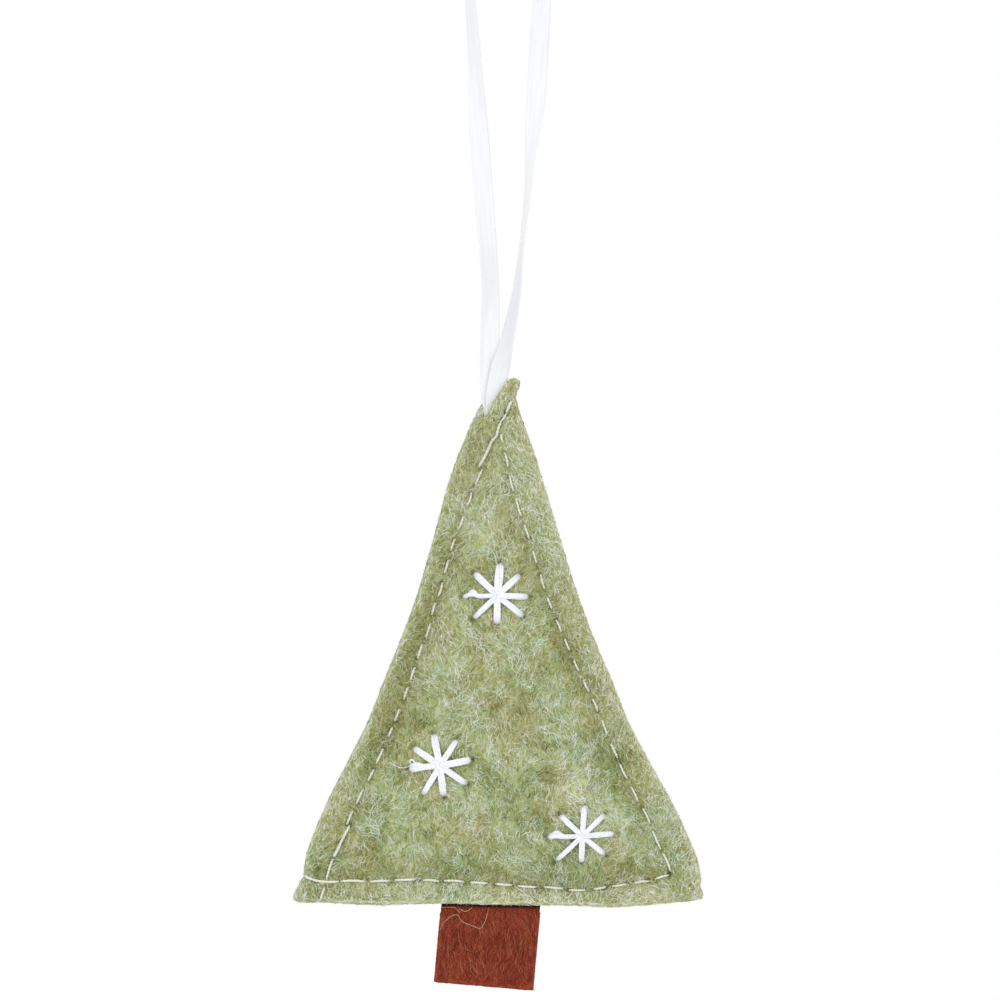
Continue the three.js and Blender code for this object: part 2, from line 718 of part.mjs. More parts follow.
// The loop: a flat strip carried along its route, its width turned as the route says.
function ribbonLoop(legDrop) {
  const stretch = legDrop / LOOP_ROUTE[0][1];
  const route = new THREE.CatmullRomCurve3(
    LOOP_ROUTE.map(([x, drop]) => new THREE.Vector3(x, 0, RIBBON_THICKNESS / 2 - drop * stretch)),
  );
  const turns = smoothThrough(LOOP_ROUTE.map(([, , turn], i) => [i / (LOOP_ROUTE.length - 1), turn]));
  const rings = steps(0, 1, LOOP_STEPS).map((t) => {
    const centre = route.getPoint(t);
    const forward = route.getTangent(t);
    const ends = t === 0 || t === 1;
    if (ends) forward.set(0, 0, t === 0 ? 1 : -1);
    const turn = THREE.MathUtils.degToRad(turns(t));
    const wide = new THREE.Vector3(Math.cos(turn), Math.sin(turn), 0);
    wide.addScaledVector(forward, -wide.dot(forward)).normalize();
    const thin = new THREE.Vector3().crossVectors(forward, wide);
    return [[-1, -1], [1, -1], [1, 1], [-1, 1]].map(([s, k]) =>
      centre
        .clone()
        .addScaledVector(wide, (s * RIBBON_WIDTH) / 2)
        .addScaledVector(thin, (k * RIBBON_THICKNESS) / 2),
    );
  });
  return loft(rings);
}

// Assembly

function add(group, name, geometry, material) {
  const mesh = new THREE.Mesh(geometry, material);
  mesh.name = name;
  group.add(mesh);
  return mesh;
}

const ornament = new THREE.Group();

const tree = new THREE.Group();
tree.position.set(TREE_SHIFT, 0, -HANG_DROP);
ornament.add(tree);
const centreHoles = snowflakes.map(({ centre }) => circle(centre, FLOSS_STEM_RADIUS + CLEARANCE, STEM_SIDES));
add(tree, "front_panel", panel(-1, frontOutline, centreHoles), MATERIALS.greenFelt);
add(tree, "back_panel", panel(1, backOutline, []), MATERIALS.greenFelt);
add(tree, "wadding", wadding(), MATERIALS.wadding);
add(tree, "needle_thread_left", seamThread(leftHoles, -1, leftLift), MATERIALS.thread);
add(tree, "bobbin_thread_left", seamThread(leftHoles, 1, leftLift), MATERIALS.thread);
add(tree, "needle_thread_base_right", seamThread(baseRightHoles, -1, () => 0), MATERIALS.thread);
add(tree, "bobbin_thread_base_right", seamThread(baseRightHoles, 1, () => 0), MATERIALS.thread);
snowflakes.forEach((flake) => add(tree, flake.name, snowflake(flake), MATERIALS.floss));
add(tree, "trunk_root", trunkRoot(), MATERIALS.rustFelt);
const tails = add(tree, "ribbon_tails", ribbonTails(), MATERIALS.satin);
tails.position.set(TAIL_SHIFT, 0, SWING_OVER_TIP);
const trunk = add(tree, "trunk_tab", trunkTab(), MATERIALS.rustFelt);
trunk.position.set(TRUNK_SHIFT, 0, -TREE_HEIGHT - TRUNK_THICKNESS / 2 - CLEARANCE);

const neckBottom = SWING_OVER_TIP - HANG_DROP + tailThickness / 2 + CLEARANCE;
const neck = add(ornament, "ribbon_neck", ribbonNeck(), MATERIALS.satin);
neck.position.set(NECK_SHIFT, 0, neckBottom);
const legDrop = -neckBottom - NECK_LENGTH - CLEARANCE + RIBBON_THICKNESS / 2;
add(ornament, "ribbon_loop", ribbonLoop(legDrop), MATERIALS.satin);

export default ornament;
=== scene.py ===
"""The finished surfaces of a stuffed felt tree ornament on a satin ribbon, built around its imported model.

Shapes are worked out in millimetres and put into meshes in metres. On the tree a place is (x, depth): x is
across from the tree's centreline and depth is down from its tip. The front faces -Y.
"""

import math

import bpy
import numpy as np
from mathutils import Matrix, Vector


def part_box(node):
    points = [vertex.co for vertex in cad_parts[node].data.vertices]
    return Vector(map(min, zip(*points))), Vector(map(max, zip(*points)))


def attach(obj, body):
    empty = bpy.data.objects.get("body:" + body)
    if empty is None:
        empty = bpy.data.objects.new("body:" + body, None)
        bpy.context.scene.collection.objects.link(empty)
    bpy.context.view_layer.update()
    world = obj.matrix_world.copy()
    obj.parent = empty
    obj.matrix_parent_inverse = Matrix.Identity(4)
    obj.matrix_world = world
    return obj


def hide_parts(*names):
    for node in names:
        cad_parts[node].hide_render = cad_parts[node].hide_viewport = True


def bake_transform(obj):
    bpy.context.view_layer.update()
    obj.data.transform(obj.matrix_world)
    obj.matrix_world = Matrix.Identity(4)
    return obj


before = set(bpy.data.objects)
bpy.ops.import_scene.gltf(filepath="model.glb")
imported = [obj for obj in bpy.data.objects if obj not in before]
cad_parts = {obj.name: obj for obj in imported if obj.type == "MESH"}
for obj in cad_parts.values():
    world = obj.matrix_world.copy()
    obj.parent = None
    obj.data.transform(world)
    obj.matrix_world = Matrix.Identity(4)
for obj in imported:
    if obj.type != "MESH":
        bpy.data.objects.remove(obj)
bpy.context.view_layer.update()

MM = 0.001
FAR = 100.0

# The view, in millimetres
VIEW_CENTRE = (-1.0, 0.0, -100.83)
VIEW_SIZE = 166.67
VIEW_DISTANCE = 1200.0
SENSOR_WIDTH = 36.0

# Light and floor. Each lamp has its place in metres, its power in watts and its size in metres
AMBIENT = 0.715
LAMPS = {
    "key": ((-0.5, -0.92, 0.42), 5.5, 0.8),
    "fill": ((0.7, -0.8, 0.0), 2.2, 0.7),
    "back": ((0.45, 0.9, 0.4), 5.0, 0.7),
}
FLOOR_Z = -255.0
FLOOR_RADIUS = 420.0
FLOOR_RINGS = 24
FLOOR_SPOKES = 64
FLOOR_FADE = (0.1, 0.85)  # from and to these shares of its radius the floor turns white

# The tree's frame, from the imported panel
panel_low, panel_high = (np.array(corner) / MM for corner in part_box("front_panel"))
TREE_X = (panel_low[0] + panel_high[0]) / 2
TIP_Z = panel_high[2]
TREE_WIDTH = panel_high[0] - panel_low[0]
TREE_HEIGHT = panel_high[2] - panel_low[2]

# Tree outline, from the picture: depth, x. The nub leans right, and left of it the felt is cut back
# where the ribbon comes out, further on the front than on the back
RIGHT_TIP = [
    [-0.2, 2.75], [-0.08, 3.1], [0.17, 3.42], [0.5, 3.55], [1.3, 3.4], [2.1, 3.07], [3.1, 2.85],
    [3.9, 3.1], [5.4, 3.5],
]
FRONT_LEFT_TIP = [
    [-0.2, 2.4], [-0.08, 1.95], [0.2, 1.5], [0.85, 1.08], [1.8, 0.45], [3.4, -0.53], [4.8, -1.3],
    [6.0, -1.95], [6.3, -2.35], [6.6, -3.3], [6.9, -3.95], [7.3, -4.3],
]
BACK_LEFT_TIP = [
    [-0.2, 2.4], [-0.08, 1.95], [0.2, 1.5], [0.85, 0.95], [2, -0.4], [3.6, -2.1], [4.2, -2.75],
    [4.5, -3.05], [5.2, -3.4], [7.3, -4.3],
]
LEFT_EDGE = [
    [8.2, -4.72], [10, -5.5], [16.7, -8.03], [23.4, -9.87], [30, -11.7], [36.7, -13.7], [43.4, -16.2],
    [50, -18.87], [56.7, -21.53], [63.4, -24.87], [70, -28.2], [76.7, -31.03], [80, -32.03],
    [81.4, -32.25], [82.6, -32.35], [83.2, -32.65], [84.5, -33.35], [85.6, -33.92], [86.2, -34.1],
    [86.6, -34.1], [87, -33.9],
]
RIGHT_EDGE = [
    [6.7, 3.92], [10, 5.13], [16.7, 7.3], [23.4, 9.3], [30, 11.3], [36.7, 13.47], [43.4, 15.97],
    [50, 18.8], [56.7, 21.47], [63.4, 24.97], [70, 28.63], [76.7, 31.8], [80, 33.08], [82, 33.5],
    [83.2, 33.68], [84.4, 33.62], [85.4, 33.92], [86.1, 34.02], [86.5, 33.9],
]
# Base, and the three seams, from the picture: x, depth on the base and depth, x on the sides
BASE_EDGE = np.array([
    [-34.1, 86.55], [-33.85, 86.75], [-33.4, 86.87], [-32.6, 86.93], [-31.2, 86.97], [-28.7, 87],
    [-24.9, 87.2], [-20.1, 87.4], [-15.3, 87.25], [-9.6, 87.1], [0.9, 87.35], [7, 87.4], [13.6, 87.5],
    [18.5, 87.78], [22.3, 87.58], [26.1, 87.3], [30, 86.9], [32, 86.7], [34, 86.45],
])
BASE_SEAM = np.array([
    [-34, 82.2], [-32.5, 82.6], [-30.4, 83.45], [-27.5, 83.55], [-22.6, 83.65], [-18.2, 83.43],
    [-14, 83.25], [-9.5, 83.5], [-4.5, 83.75], [-0.5, 83.95], [3.3, 84.25], [7.6, 84.5], [12, 84.9],
    [15.9, 84.85], [19, 84.3], [22.6, 83.75], [26.2, 83.25], [28.5, 82.6], [34, 81.3],
])
LEFT_SEAM = np.array([
    [3.4, 2.35], [7.4, 0.35], [11.2, -1.45], [14.7, -3.12], [20.6, -5.1], [28.6, -7.87],
    [36.1, -10.07], [43.1, -12.3], [49.8, -14.5], [56.7, -17.07], [63.8, -20.23], [70.4, -23.48],
    [77.1, -26.03], [83.4, -28.62], [86.7, -29.67],
])
RIGHT_SEAM = np.array([
    [9.2, 0.35], [16, 1.97], [24.4, 4.37], [28.4, 5.82], [36.4, 8.2], [40.2, 9.83], [46.9, 12.7],
    [53.4, 15.85], [60.8, 18.83], [67.7, 22.18], [75.3, 25.82], [81.7, 28.58], [84, 29.5],
])
RIGHT_SEAM_END = 82.5
BASE_SEAM_END = 28.7
SIDE_COSINE = 0.93  # of the sides' slant

# Felt and its stuffing
FELT = 1.6
PRESSED_FELT = 0.75
TIP_FELT = 0.65  # share of the felt's thickness at the tip, which grows to 1 between these depths
TIP_FELT_DEPTHS = (2, 11)
RIM_PAINTED_LIGHT_REACH = 0.5  # painted light: the felt is painted paler this near its cut edge, as if lit round it
CHANNEL = 1.6  # half width of the groove that a seam presses
EDGE_ROUND = 0.45
CROWN = 4.4
CROWN_REACH = 10.0
CROWN_RISE = 7.0
CROWN_POWER = 0.85
PARTED = 0.06  # each panel stands off the middle plane by this, and by more round what is sewn in
PARTED_TRUNK = 0.75
PARTED_TRUNK_ROUND = 2
PARTED_TRUNK_FADE = 8
PARTED_RIBBON = 0.5
PARTED_RIBBON_DEPTHS = (15, 23)
PARTED_RIBBON_FADE = (0.1, 2.2)
TAILS_X = -0.8  # middle of the ribbon's tails between the panels
LUMPS = ((0.1, 7), (0.045, 2.2))  # height and wavelength
LUMPS_PRESSED = 0.7  # lower by this share at a seam
PUCKER = (0.09, 3.8)
PUCKER_BAND = (2, 1.5)  # its distance from a seam, and its reach there
LOOSE_EDGE = (5.5, 4.5)  # the loose edge begins this far inside the cut edge and is quite loose this far on
LOOSE_DEPTHS = ((22, 34), (74, 80))
EDGE_WAVE = (0.3, 24)
EDGE_WAVE_SEED = 31

# Needle holes: the felt dips at each, and is painted dark round it as shade
HOLE_DEPTH = 0.4
HOLE_REACH = 0.45
HOLE_PAST_RAY = 1.09  # a ray's hole lies at this share of its length
HOLE_SHARES = (0.3, 1)  # how open the holes are, before the power below
HOLE_POWER = 1.2
HOLE_BASE = 0.7  # the least open along the base and at the floss
HOLE_CLOSED = 0.6  # less open by this share at the base's left end
HOLE_CLOSED_X = (-22, -14)
HOLE_CLOSED_DEPTHS = (79, 82)

# Painted shade on the felt, from 0 to 1, at the left and right seams, along the base and at the snowflakes
PAINTED_SHADE_REACH = 1.8
PAINTED_SHADE_SHARES = (0.68, 0.45)
PAINTED_SHADE_OUT = 1.3  # the left band of painted shade lies this far outside its seam
PAINTED_SHADE_IN = 0.2  # the right one lies this far inside its seam, and drifts outward below
PAINTED_SHADE_DRIFT = 0.9
PAINTED_SHADE_DRIFT_DEPTHS = (55, 70)
PAINTED_SHADE_GAPS = ((0.15, 57, 9), (0.85, 59, 7))  # less on the left and right: share, depth and reach
PAINTED_SHADE_FROM = (18, 52)
PAINTED_SHADE_LESS = (0.4, 62, 70)  # less by this share below these depths
PAINTED_SHADE_BASE = (0.25, 1.2, 2.4)  # share, height over the base seam and reach
PAINTED_SHADE_FLOSS = 2.4

# Rows and columns of the panels
TIP_TOP = -0.2
TIP_ZONE = 8.0
BASE_ZONE = 9.0
SIDE_ZONE = 9.0
TIP_ROWS = (44, 165, 42)
SIDE_COLUMNS = 34
MIDDLE_COLUMNS = 96

# Stitches from the picture: the depths, and on the base the x, where each starts and ends. At both
# ends of the left run the stitches overlap, and there each has both ends as x, depth, and its own girth
LEFT_TOP_STITCHES = np.array([
    [[2.2, 3.6], [1.4, 5.4]], [[1.35, 5.5], [0.4, 7.0]], [[0.4, 6.9], [-0.4, 9.6]],
    [[-0.35, 9.4], [-1.45, 10.9]], [[-1.15, 10.3], [-3.3, 14.6]], [[-2.7, 14.9], [-3.87, 17.5]],
    [[-4.5, 18.8], [-5.2, 20.9]],
])
LEFT_TOP_GIRTHS = [1.2, 0.75, 1.1, 1.1, 1.45, 0.9, 0.9]
LEFT_STITCHES = np.array([
    [22.8, 24.8], [26.5, 28.5], [30.0, 32.2], [33.8, 36.0], [37.2, 39.1], [40.5, 42.9], [44.2, 46.4],
    [47.9, 50.0], [51.2, 53.2], [54.9, 56.9], [58.0, 59.4], [61.5, 63.9], [64.9, 66.7], [68.3, 70.6],
])
LEFT_LOW_STITCHES = np.array([
    [[-24.3, 71.9], [-25.2, 74.1]], [[-24.75, 74.2], [-26.3, 77.2]], [[-26.05, 76.7], [-27.4, 79.5]],
    [[-27.5, 79.8], [-28.6, 83.3]], [[-29.0, 84.5], [-29.7, 86.6]],
])
LEFT_LOW_GIRTHS = [0.95, 1.3, 1.3, 1.05, 0.9]
LEFT_DULL = 0.4  # the left run's thread is duller by this tint
RIGHT_STITCHES = np.array([
    [9.2, 10.3], [12.2, 14.5], [15.9, 18.5], [19.9, 22.7], [24.2, 26.5], [28.5, 30.4], [32.5, 34.7],
    [36.3, 38.1], [40.0, 41.9], [43.2, 45.0], [46.8, 48.4], [50.0, 51.9], [53.2, 55.2], [56.7, 59.0],
    [60.7, 63.0], [63.9, 66.4], [67.7, 70.2], [71.5, 73.9], [75.2, 78.2], [78.9, 81.9],
])
RIGHT_GIRTH = 0.84
BASE_STITCHES = np.array([
    [-32.3, -30.4], [-30.7, -26.6], [-26.1, -22.3], [-21.3, -18.0], [-17.2, -13.8], [-12.5, -9.9],
    [-9.0, -5.7], [-4.6, -1.8], [-0.5, 2.3], [3.3, 6.4], [7.6, 10.8], [11.8, 14.5], [15.9, 17.9],
    [19.0, 21.4], [22.6, 25.1], [26.2, 28.4],
])
BASE_GIRTHS = (1.14, 0.86)  # at the run's left and right ends
THREAD_PLY = 0.132  # radius of one ply of the seam thread
THREAD_LIFT = 0.27
THREAD_SINK = 0.7
THREAD_SHADES = 0.4
PLY_PITCH = 1.1
PLY_OFFSET = 0.1
STITCH_STRAY = 0.06  # spread of the stitches' middles beside the seam, and of their bow
STITCH_BOW = 0.1
NEEDLE_LONGER = (0.14, 0.16)  # how far the front's stitches pass their holes, on the left and elsewhere
BOBBIN_LONGER = 0.2
STITCH_STEPS = 17
STITCH_SIDES = 7

# Snowflakes: centre (x, depth), how far the flared ray's strands stray upwards, and for each ray, clockwise
# from the top, its tip from the centre (right, down) and its girth
SNOWFLAKES = {
    "snowflake_top": ((-0.13, 35.88), 0.95, [
        (0.43, -5.1, 1.4), (3.57, -3.3, 1.05), (4.97, 0.25, 1.0), (4.13, 3.38, 1.0),
        (-0.07, 4.58, 1.15), (-3.83, 3.7, 0.85), (-5.48, 0.25, 0.85), (-3.7, -3.57, 1.1),
    ]),
    "snowflake_left": ((-9.68, 64.15), 0.25, [
        (-1.02, -5.03, 1.2), (2.73, -4.15, 0.9), (5.03, -0.95, 1.15), (4.27, 2.93, 1.0),
        (0.63, 4.92, 1.15), (-2.75, 4.72, 0.9), (-4.92, 0.45, 1.25), (-4.22, -2.87, 1.1),
    ]),
    "snowflake_right": ((13.97, 75.88), 0.6, [
        (0.32, -4.85, 0.9), (3.6, -3.5, 0.75), (5.2, -0.38, 0.85), (3.6, 3.0, 0.85),
        (-0.13, 4.25, 0.95), (-4.22, 3.95, 0.75), (-5.55, 0.13, 0.85), (-3.58, -3.38, 0.85),
    ]),
}
FLARED_RAY = 6  # the ray to the left ends in spread strands
FLOSS_STRANDS = 6
FLOSS_STEPS = 20
FLOSS_SIDES = 6
FLOSS_RADIUS = 0.222
FLOSS_WIDE = 0.33  # half width of the bundle, to the strands' middles
FLOSS_HIGH = 0.14
FLOSS_TAIL = (
    (-13.6, 64.4), (-14.0, 64.25), (-13.85, 63.75), (-14.1, 63.3), (-14.45, 63.2), (-14.65, 63.55),
    (-14.5, 64.0), (-14.9, 64.35), (-16.2, 64.55), (-17.7, 63.95),
)
FLOSS_TAIL_TINT = 0.3

# Ribbon: x, y, drop below the hanging point, turn of its width from X towards Y in degrees
LEFT_TAIL = [
    [-1.2, 0.2, 95, 0], [-1.3, 0.2, 89.5, 0], [-2.2, 0.2, 85.6, 0], [-2.65, 0.19, 83, 0],
    [-2.75, 0.14, 79, 2],
]
LOOP_ROUTE = [
    [-2.67, 0, 75, 5], [-2.65, 0, 71, 15], [-2.58, 0, 67.5, 24], [-3, 0, 59.2, 22], [-3.67, 0, 50.8, 8],
    [-4.25, 0, 42.5, 8], [-4.83, 0, 34.2, 27], [-5.4, 0, 25.8, 43], [-6, 0, 18.3, 52],
    [-6.3, 0, 12.5, 66], [-5.9, 0, 6.7, 80], [-3.9, 0, 2, 90], [0, 0, 0, 90], [3.9, 0, 2, 88],
    [6, 0, 6.7, 70], [6.35, 0, 12.5, 42], [5.95, 0, 18.3, 18], [5.5, 0, 25.8, 5], [5, 0, 34.2, -16],
    [4.25, 0, 42.5, -48], [3.58, 0, 50.8, -67], [2.6, 0, 59.2, -76], [1.6, 0, 67.5, -62],
    [0.68, -0.62, 72, -50], [0.05, -1.35, 75, -43],
]
RIGHT_TAIL = [
    [-0.5, -1.25, 77.2, -30], [-1.05, -0.75, 79.3, -14], [-1.75, -0.32, 83.5, -3], [-1.7, -0.2, 89, 0],
    [-1.5, -0.2, 95, 0],
]
RIBBON_WIDTH = 3.2
RIBBON_THICKNESS = 0.22
RIBBON_TOP = 0.15  # the ribbon's middle over the hanging point
RIBBON_STEP = 0.5
RIBBON_ACROSS = 15  # points across each face
RIBBON_CUP = (0.1, 23.0)  # height and wavelength of its cupping
RIBBON_CUP_SEED = 5
RIBBON_PAINTED_LIGHT = (0.85, 0.55)  # painted light: how much whiter its left and right legs are painted where they are turned edge on
RIBBON_PAINTED_LIGHT_END = (52, 74)
RIBBON_PAINTED_SHADE_LEFT = (0.5, 63, 6.5)  # painted shade: how much greyer its left leg is painted, at this drop and over this reach
RIBBON_PAINTED_SHADE_RIGHT = (0.7, 54, 76)  # painted shade: how much greyer its right leg is painted between these drops
RIBBON_PAINTED_SHADE_LESS = (0.5, 76, 82)  # and by which share less between these
RIBBON_CUT_DROP = 77.5  # where the loop piece ends and the tails piece begins

# Trunk
TRUNK_X = -1.2
TRUNK_WIDTH = 16.5
TRUNK_THICKNESS = 1.5
TRUNK_ROOT_THICKNESS = 1.0
TRUNK_TOP_DEPTH = 81.0
TRUNK_LEFT_DEPTH = 100.4
TRUNK_RIGHT_DEPTH = 101.8
TRUNK_LEAN = 0.09
TRUNK_FOLD_DEPTHS = (87.3, 89.8)
TRUNK_LUMPS = (0.06, 4)
TRUNK_LUMPS_SEED = 61
TRUNK_PAINTED_SHADOW = (0.3, 0.95)  # painted shadow: the trunk is painted dark down to these distances below the panels' base edge
TRUNK_ROWS = 80
TRUNK_COLUMNS = 70
LOOSE_STEPS = 40
LOOSE_SIDES = 5
LOOSE_RADIUS = 0.042
LOOSE_THREADS = (
    ((-9.77, 91.7), (-8.87, 90.2), (-7.53, 89.2), (-6.7, 89.2), (-6.03, 90.2), (-4.53, 90.87),
     (-3.03, 91.37), (-2.45, 90.7), (-1.95, 89.53), (-1.6, 87.87)),
    ((-9.43, 87.9), (-7.53, 87.87), (-6.9, 88.2), (-6.4, 88.8)),
    ((-6.6, 88.0), (-5.9, 88.45), (-5.2, 88.5), (-4.3, 87.9)),
)

# Wadding
WADDING_TOP = 24.0
WADDING_BOTTOM = 80.3
WADDING_INSET = 3.0
WADDING_CLEAR = 0.45
WADDING_LUMPS = ((0.12, 6), (0.06, 2.5))
WADDING_SINK = 0.12
WADDING_LEAST = 0.12
WADDING_RIM = 0.08
WADDING_ROWS = 70
WADDING_COLUMNS = 50

# Layers of fibres on a panel's face: name, step from the panel's seed, count, ranges of length, radius and
# tint, steps along a fibre, how near the cut edge they keep, and how much of the clouds they show
FELT_LAYERS = (
    ("long_fibres", 0, 2300, (1.3, 3.3), (0.038, 0.065), (0.42, 1.0), 8, FAR, 1.0),
    ("short_fibres", 1, 9000, (0.6, 1.7), (0.045, 0.075), (0.14, 1.02), 4, FAR, 1.0),
    ("edge_fibres", 4, 4700, (0.6, 1.7), (0.045, 0.08), (0.36, 1.06), 5, 4.6, 0.5),
)
FRONT_LAYERS = (
    ("pale_fibres", 3, 6000, (0.8, 2.3), (0.036, 0.065), (0.42, 1.04), 6, FAR, 1.0),
    ("dark_fibres", 6, 3600, (0.4, 1.2), (0.045, 0.075), (0.05, 0.45), 4, FAR, 1.0),
)
RIM_FIBRES = 1500
CUT_FIBRES = 1600
FUZZ_FIBRES = 700
RIBBON_FIBRES = 220
TRUNK_FIBRES = 2600
TRUNK_EDGE_FIBRES = 650
FIBRE_STEPS = 7
FUZZ_STEPS = 5
FIBRE_END = 0.45  # a fibre's girth at its ends
MATTED_RADII = (0.045, 0.08)
FELT_SWAY = (0.5, 13)  # a panel's fibres run downward, swayed by ripples of this angle and wavelength
FELT_SPREAD = 0.7
FELT_CURL = (0.8, 0.4)  # spread of the fibres' bend and the most they wriggle, in radians
RIM_CURL = (0.5, 0.3)
FUZZ_CURL = (1.2, 0.4)
TRUNK_CURL = (0.7, 0.35)
FELT_RISE = ((0.05, 0.17), 0.03)  # how high the fibres rise, and how far their ends are sunk
RIBBON_RISE = ((0.05, 0.16), 0.02)
RIM_RISE = ((0.03, 0.12), 0.02)
TRUNK_RISE = ((0.02, 0.12), 0.02)
WRIGGLE_LENGTH = 2.2
EDGE_STRAY = 0.2  # fibres may pass the cut edge by this
EDGE_SHARES = (0.36, 0.36, 0.28)  # of the edge fibres on the left, on the right and along the base
TRUNK_EDGE_SHARES = (0.28, 0.28, 0.44)
EDGE_ACROSS = 0.97  # edge fibres lie on this share of the base
TIP_SHARE = 0.1  # this share of the rim fibres lies round the tip

# Clouds of shade and of coolness among the fibres: amount and wavelength of the slow and the quick ones, and
# the slow ones' seeds by side. Then what shifts a fibre's tint and its coolness
SHADE_CLOUDS = ((0.14, 16), (0.1, 4))
COOL_CLOUDS = ((0.5, 11), (0.34, 3))
CLOUD_SEEDS = {-1: (7639, 8942), 1: (61, 62)}
CLOUDS_AT_EDGE = 0.35
CLOUDS_INSET = (4, 8.5)
# painted shade: how much darker the fibres are drawn along the seams and round the snowflakes
PAINTED_SHADE_DARKER = 0.42
FLANGE_LIGHTER = 0.075
TIP_DARKER = 0.08
LEFT_DARKER = 0.04
# painted light: how much paler the fibres are drawn at the cut edge
RIM_PAINTED_LIGHTER = 0.06
TOP_LIGHTER = 0.07
LOW_COOLER = 0.4
FLANGE_WARMER = 0.25
TIP_WARMER = 0.35
RIM_WARMER = 0.5
COOLNESS = (-0.18, 1.0)  # drawn evenly
FLANGE_REACH = 1.5
RIM_REACH = 0.9
TIP_DARK_DEPTHS = (4, 16)
TIP_WARM_DEPTHS = (8, 20)
TOP_DEPTHS = (22, 36)
TOP_INSET = (3, 6)
LEFT_INSET = (3.2, 4.5)
LOW_DEPTHS = (52, 74)

# Colours: of felt, its ground low and high, its fibres, specks and the painted shade of its hollows; of fibres,
# shades by tint
GREEN_FELT = (
    (0.175, 0.195, 0.052), (0.36, 0.39, 0.15), (0.54, 0.59, 0.33), (0.27, 0.18, 0.04), (0.055, 0.042, 0.018),
)
RUST_FELT = (
    (0.18, 0.024, 0.0095), (0.275, 0.045, 0.0195), (0.36, 0.075, 0.033), (0.315, 0.078, 0.025),
    (0.008, 0.005, 0.007),
)
WARM_GREENS = (
    (0.0, (0.17, 0.1, 0.03)), (0.08, (0.37, 0.26, 0.075)), (0.2, (0.35, 0.29, 0.07)),
    (0.4, (0.47, 0.45, 0.17)), (0.6, (0.595, 0.59, 0.33)), (0.8, (0.77, 0.77, 0.6)),
    (1.0, (0.89, 0.885, 0.81)),
)
COOL_GREENS = (
    (0.0, (0.1, 0.13, 0.03)), (0.08, (0.15, 0.21, 0.045)), (0.2, (0.22, 0.305, 0.07)),
    (0.4, (0.37, 0.485, 0.19)), (0.6, (0.515, 0.635, 0.395)), (0.8, (0.71, 0.805, 0.675)),
    (1.0, (0.85, 0.9, 0.84)),
)
WARM_RUSTS = (
    (0.0, (0.115, 0.013, 0.005)), (0.4, (0.27, 0.041, 0.016)), (0.8, (0.41, 0.09, 0.039)),
    (1.0, (0.57, 0.21, 0.105)),
)
COOL_RUSTS = (
    (0.0, (0.095, 0.012, 0.009)), (0.4, (0.23, 0.037, 0.021)), (0.8, (0.355, 0.081, 0.048)),
    (1.0, (0.51, 0.195, 0.125)),
)
PALE_STOPS = ((0.0, (0.56, 0.32, 0.22)), (1.0, (0.7, 0.5, 0.38)))
CREAM_THREAD = ((0.82, 0.835, 0.725), (0.615, 0.605, 0.465))
WHITE_FLOSS = ((0.92, 0.925, 0.95), (0.6, 0.64, 0.75))
SATIN = ((0.808, 0.818, 0.83), (0.748, 0.758, 0.8))
SATIN_PAINTED_LIGHT = (0.94, 0.945, 0.948)
SATIN_PAINTED_SHADE = (0.715, 0.73, 0.765)
WADDING_WHITES = ((0.78, 0.78, 0.74), (0.9, 0.9, 0.87))
FLOOR_GREY = (0.9, 0.9, 0.9)
WHITE = (1, 1, 1)
WOOL_LINES = ((820.0, 0.5, 0.4), (1050.0, -0.7, 0.45), (700.0, 1.3, 0.35))  # scale, turn and stretch


# Curves and waves

def smooth_through(knots, values, at):
    """A cubic through each value at its knot, with the slopes there by central differences."""
    knots, values = np.asarray(knots, float), np.asarray(values, float)
    at = np.clip(np.asarray(at, float), knots[0], knots[-1])
    slopes = np.gradient(values, knots, axis=0)
    i = np.clip(np.searchsorted(knots, at, side="right") - 1, 0, len(knots) - 2)
    span = knots[i + 1] - knots[i]
    t = (at - knots[i]) / span
    if values.ndim > 1:
        span, t = span[..., None], t[..., None]
    rise = t * t * (3 - 2 * t)
    ends = values[i] * (1 - rise) + values[i + 1] * rise
    return ends + span * t * (1 - t) * (slopes[i] * (1 - t) - slopes[i + 1] * t)


def ease(value, start, end):
    """0 at start and 1 at end, smooth at both, as 3t^2 - 2t^3."""
    t = np.clip((value - start) / (end - start), 0, 1)
    return t * t * (3 - 2 * t)


def bell(value, reach):
    """1 at 0, falling off as exp(-(value / reach)^2)."""
    return np.exp(-((value / reach) ** 2))


def arch_of(steps):
    """Half a sine wave over that many steps, 0 at both ends."""
    return np.sin(np.pi * np.linspace(0, 1, steps))


def closer(share, even):
    """Shares from 0 to 1 set closer together towards 0: even of the share, and the rest of its square."""
    return even * share + (1 - even) * share**2


def ripple(u, v, wavelength, seed, waves=16):
    """A sum of plane sine waves in random directions, of about that wavelength; its spread is about 1."""
    rng = np.random.default_rng(seed)
    heading, phase = rng.uniform(0, 2 * np.pi, (2, waves))
    length = wavelength * rng.uniform(0.6, 1.6, waves)
    total = np.zeros(np.broadcast(u, v).shape)
    for h, p, w in zip(heading, phase, length):
        total += np.sin(2 * np.pi * (u * np.cos(h) + v * np.sin(h)) / w + p)
    return total / math.sqrt(waves / 2)


def ripples(u, v, layers, seeds):
    """The sum of one ripple for each (amount, wavelength) in layers."""
    return sum(amount * ripple(u, v, length, seed) for (amount, length), seed in zip(layers, seeds))


# Meshes

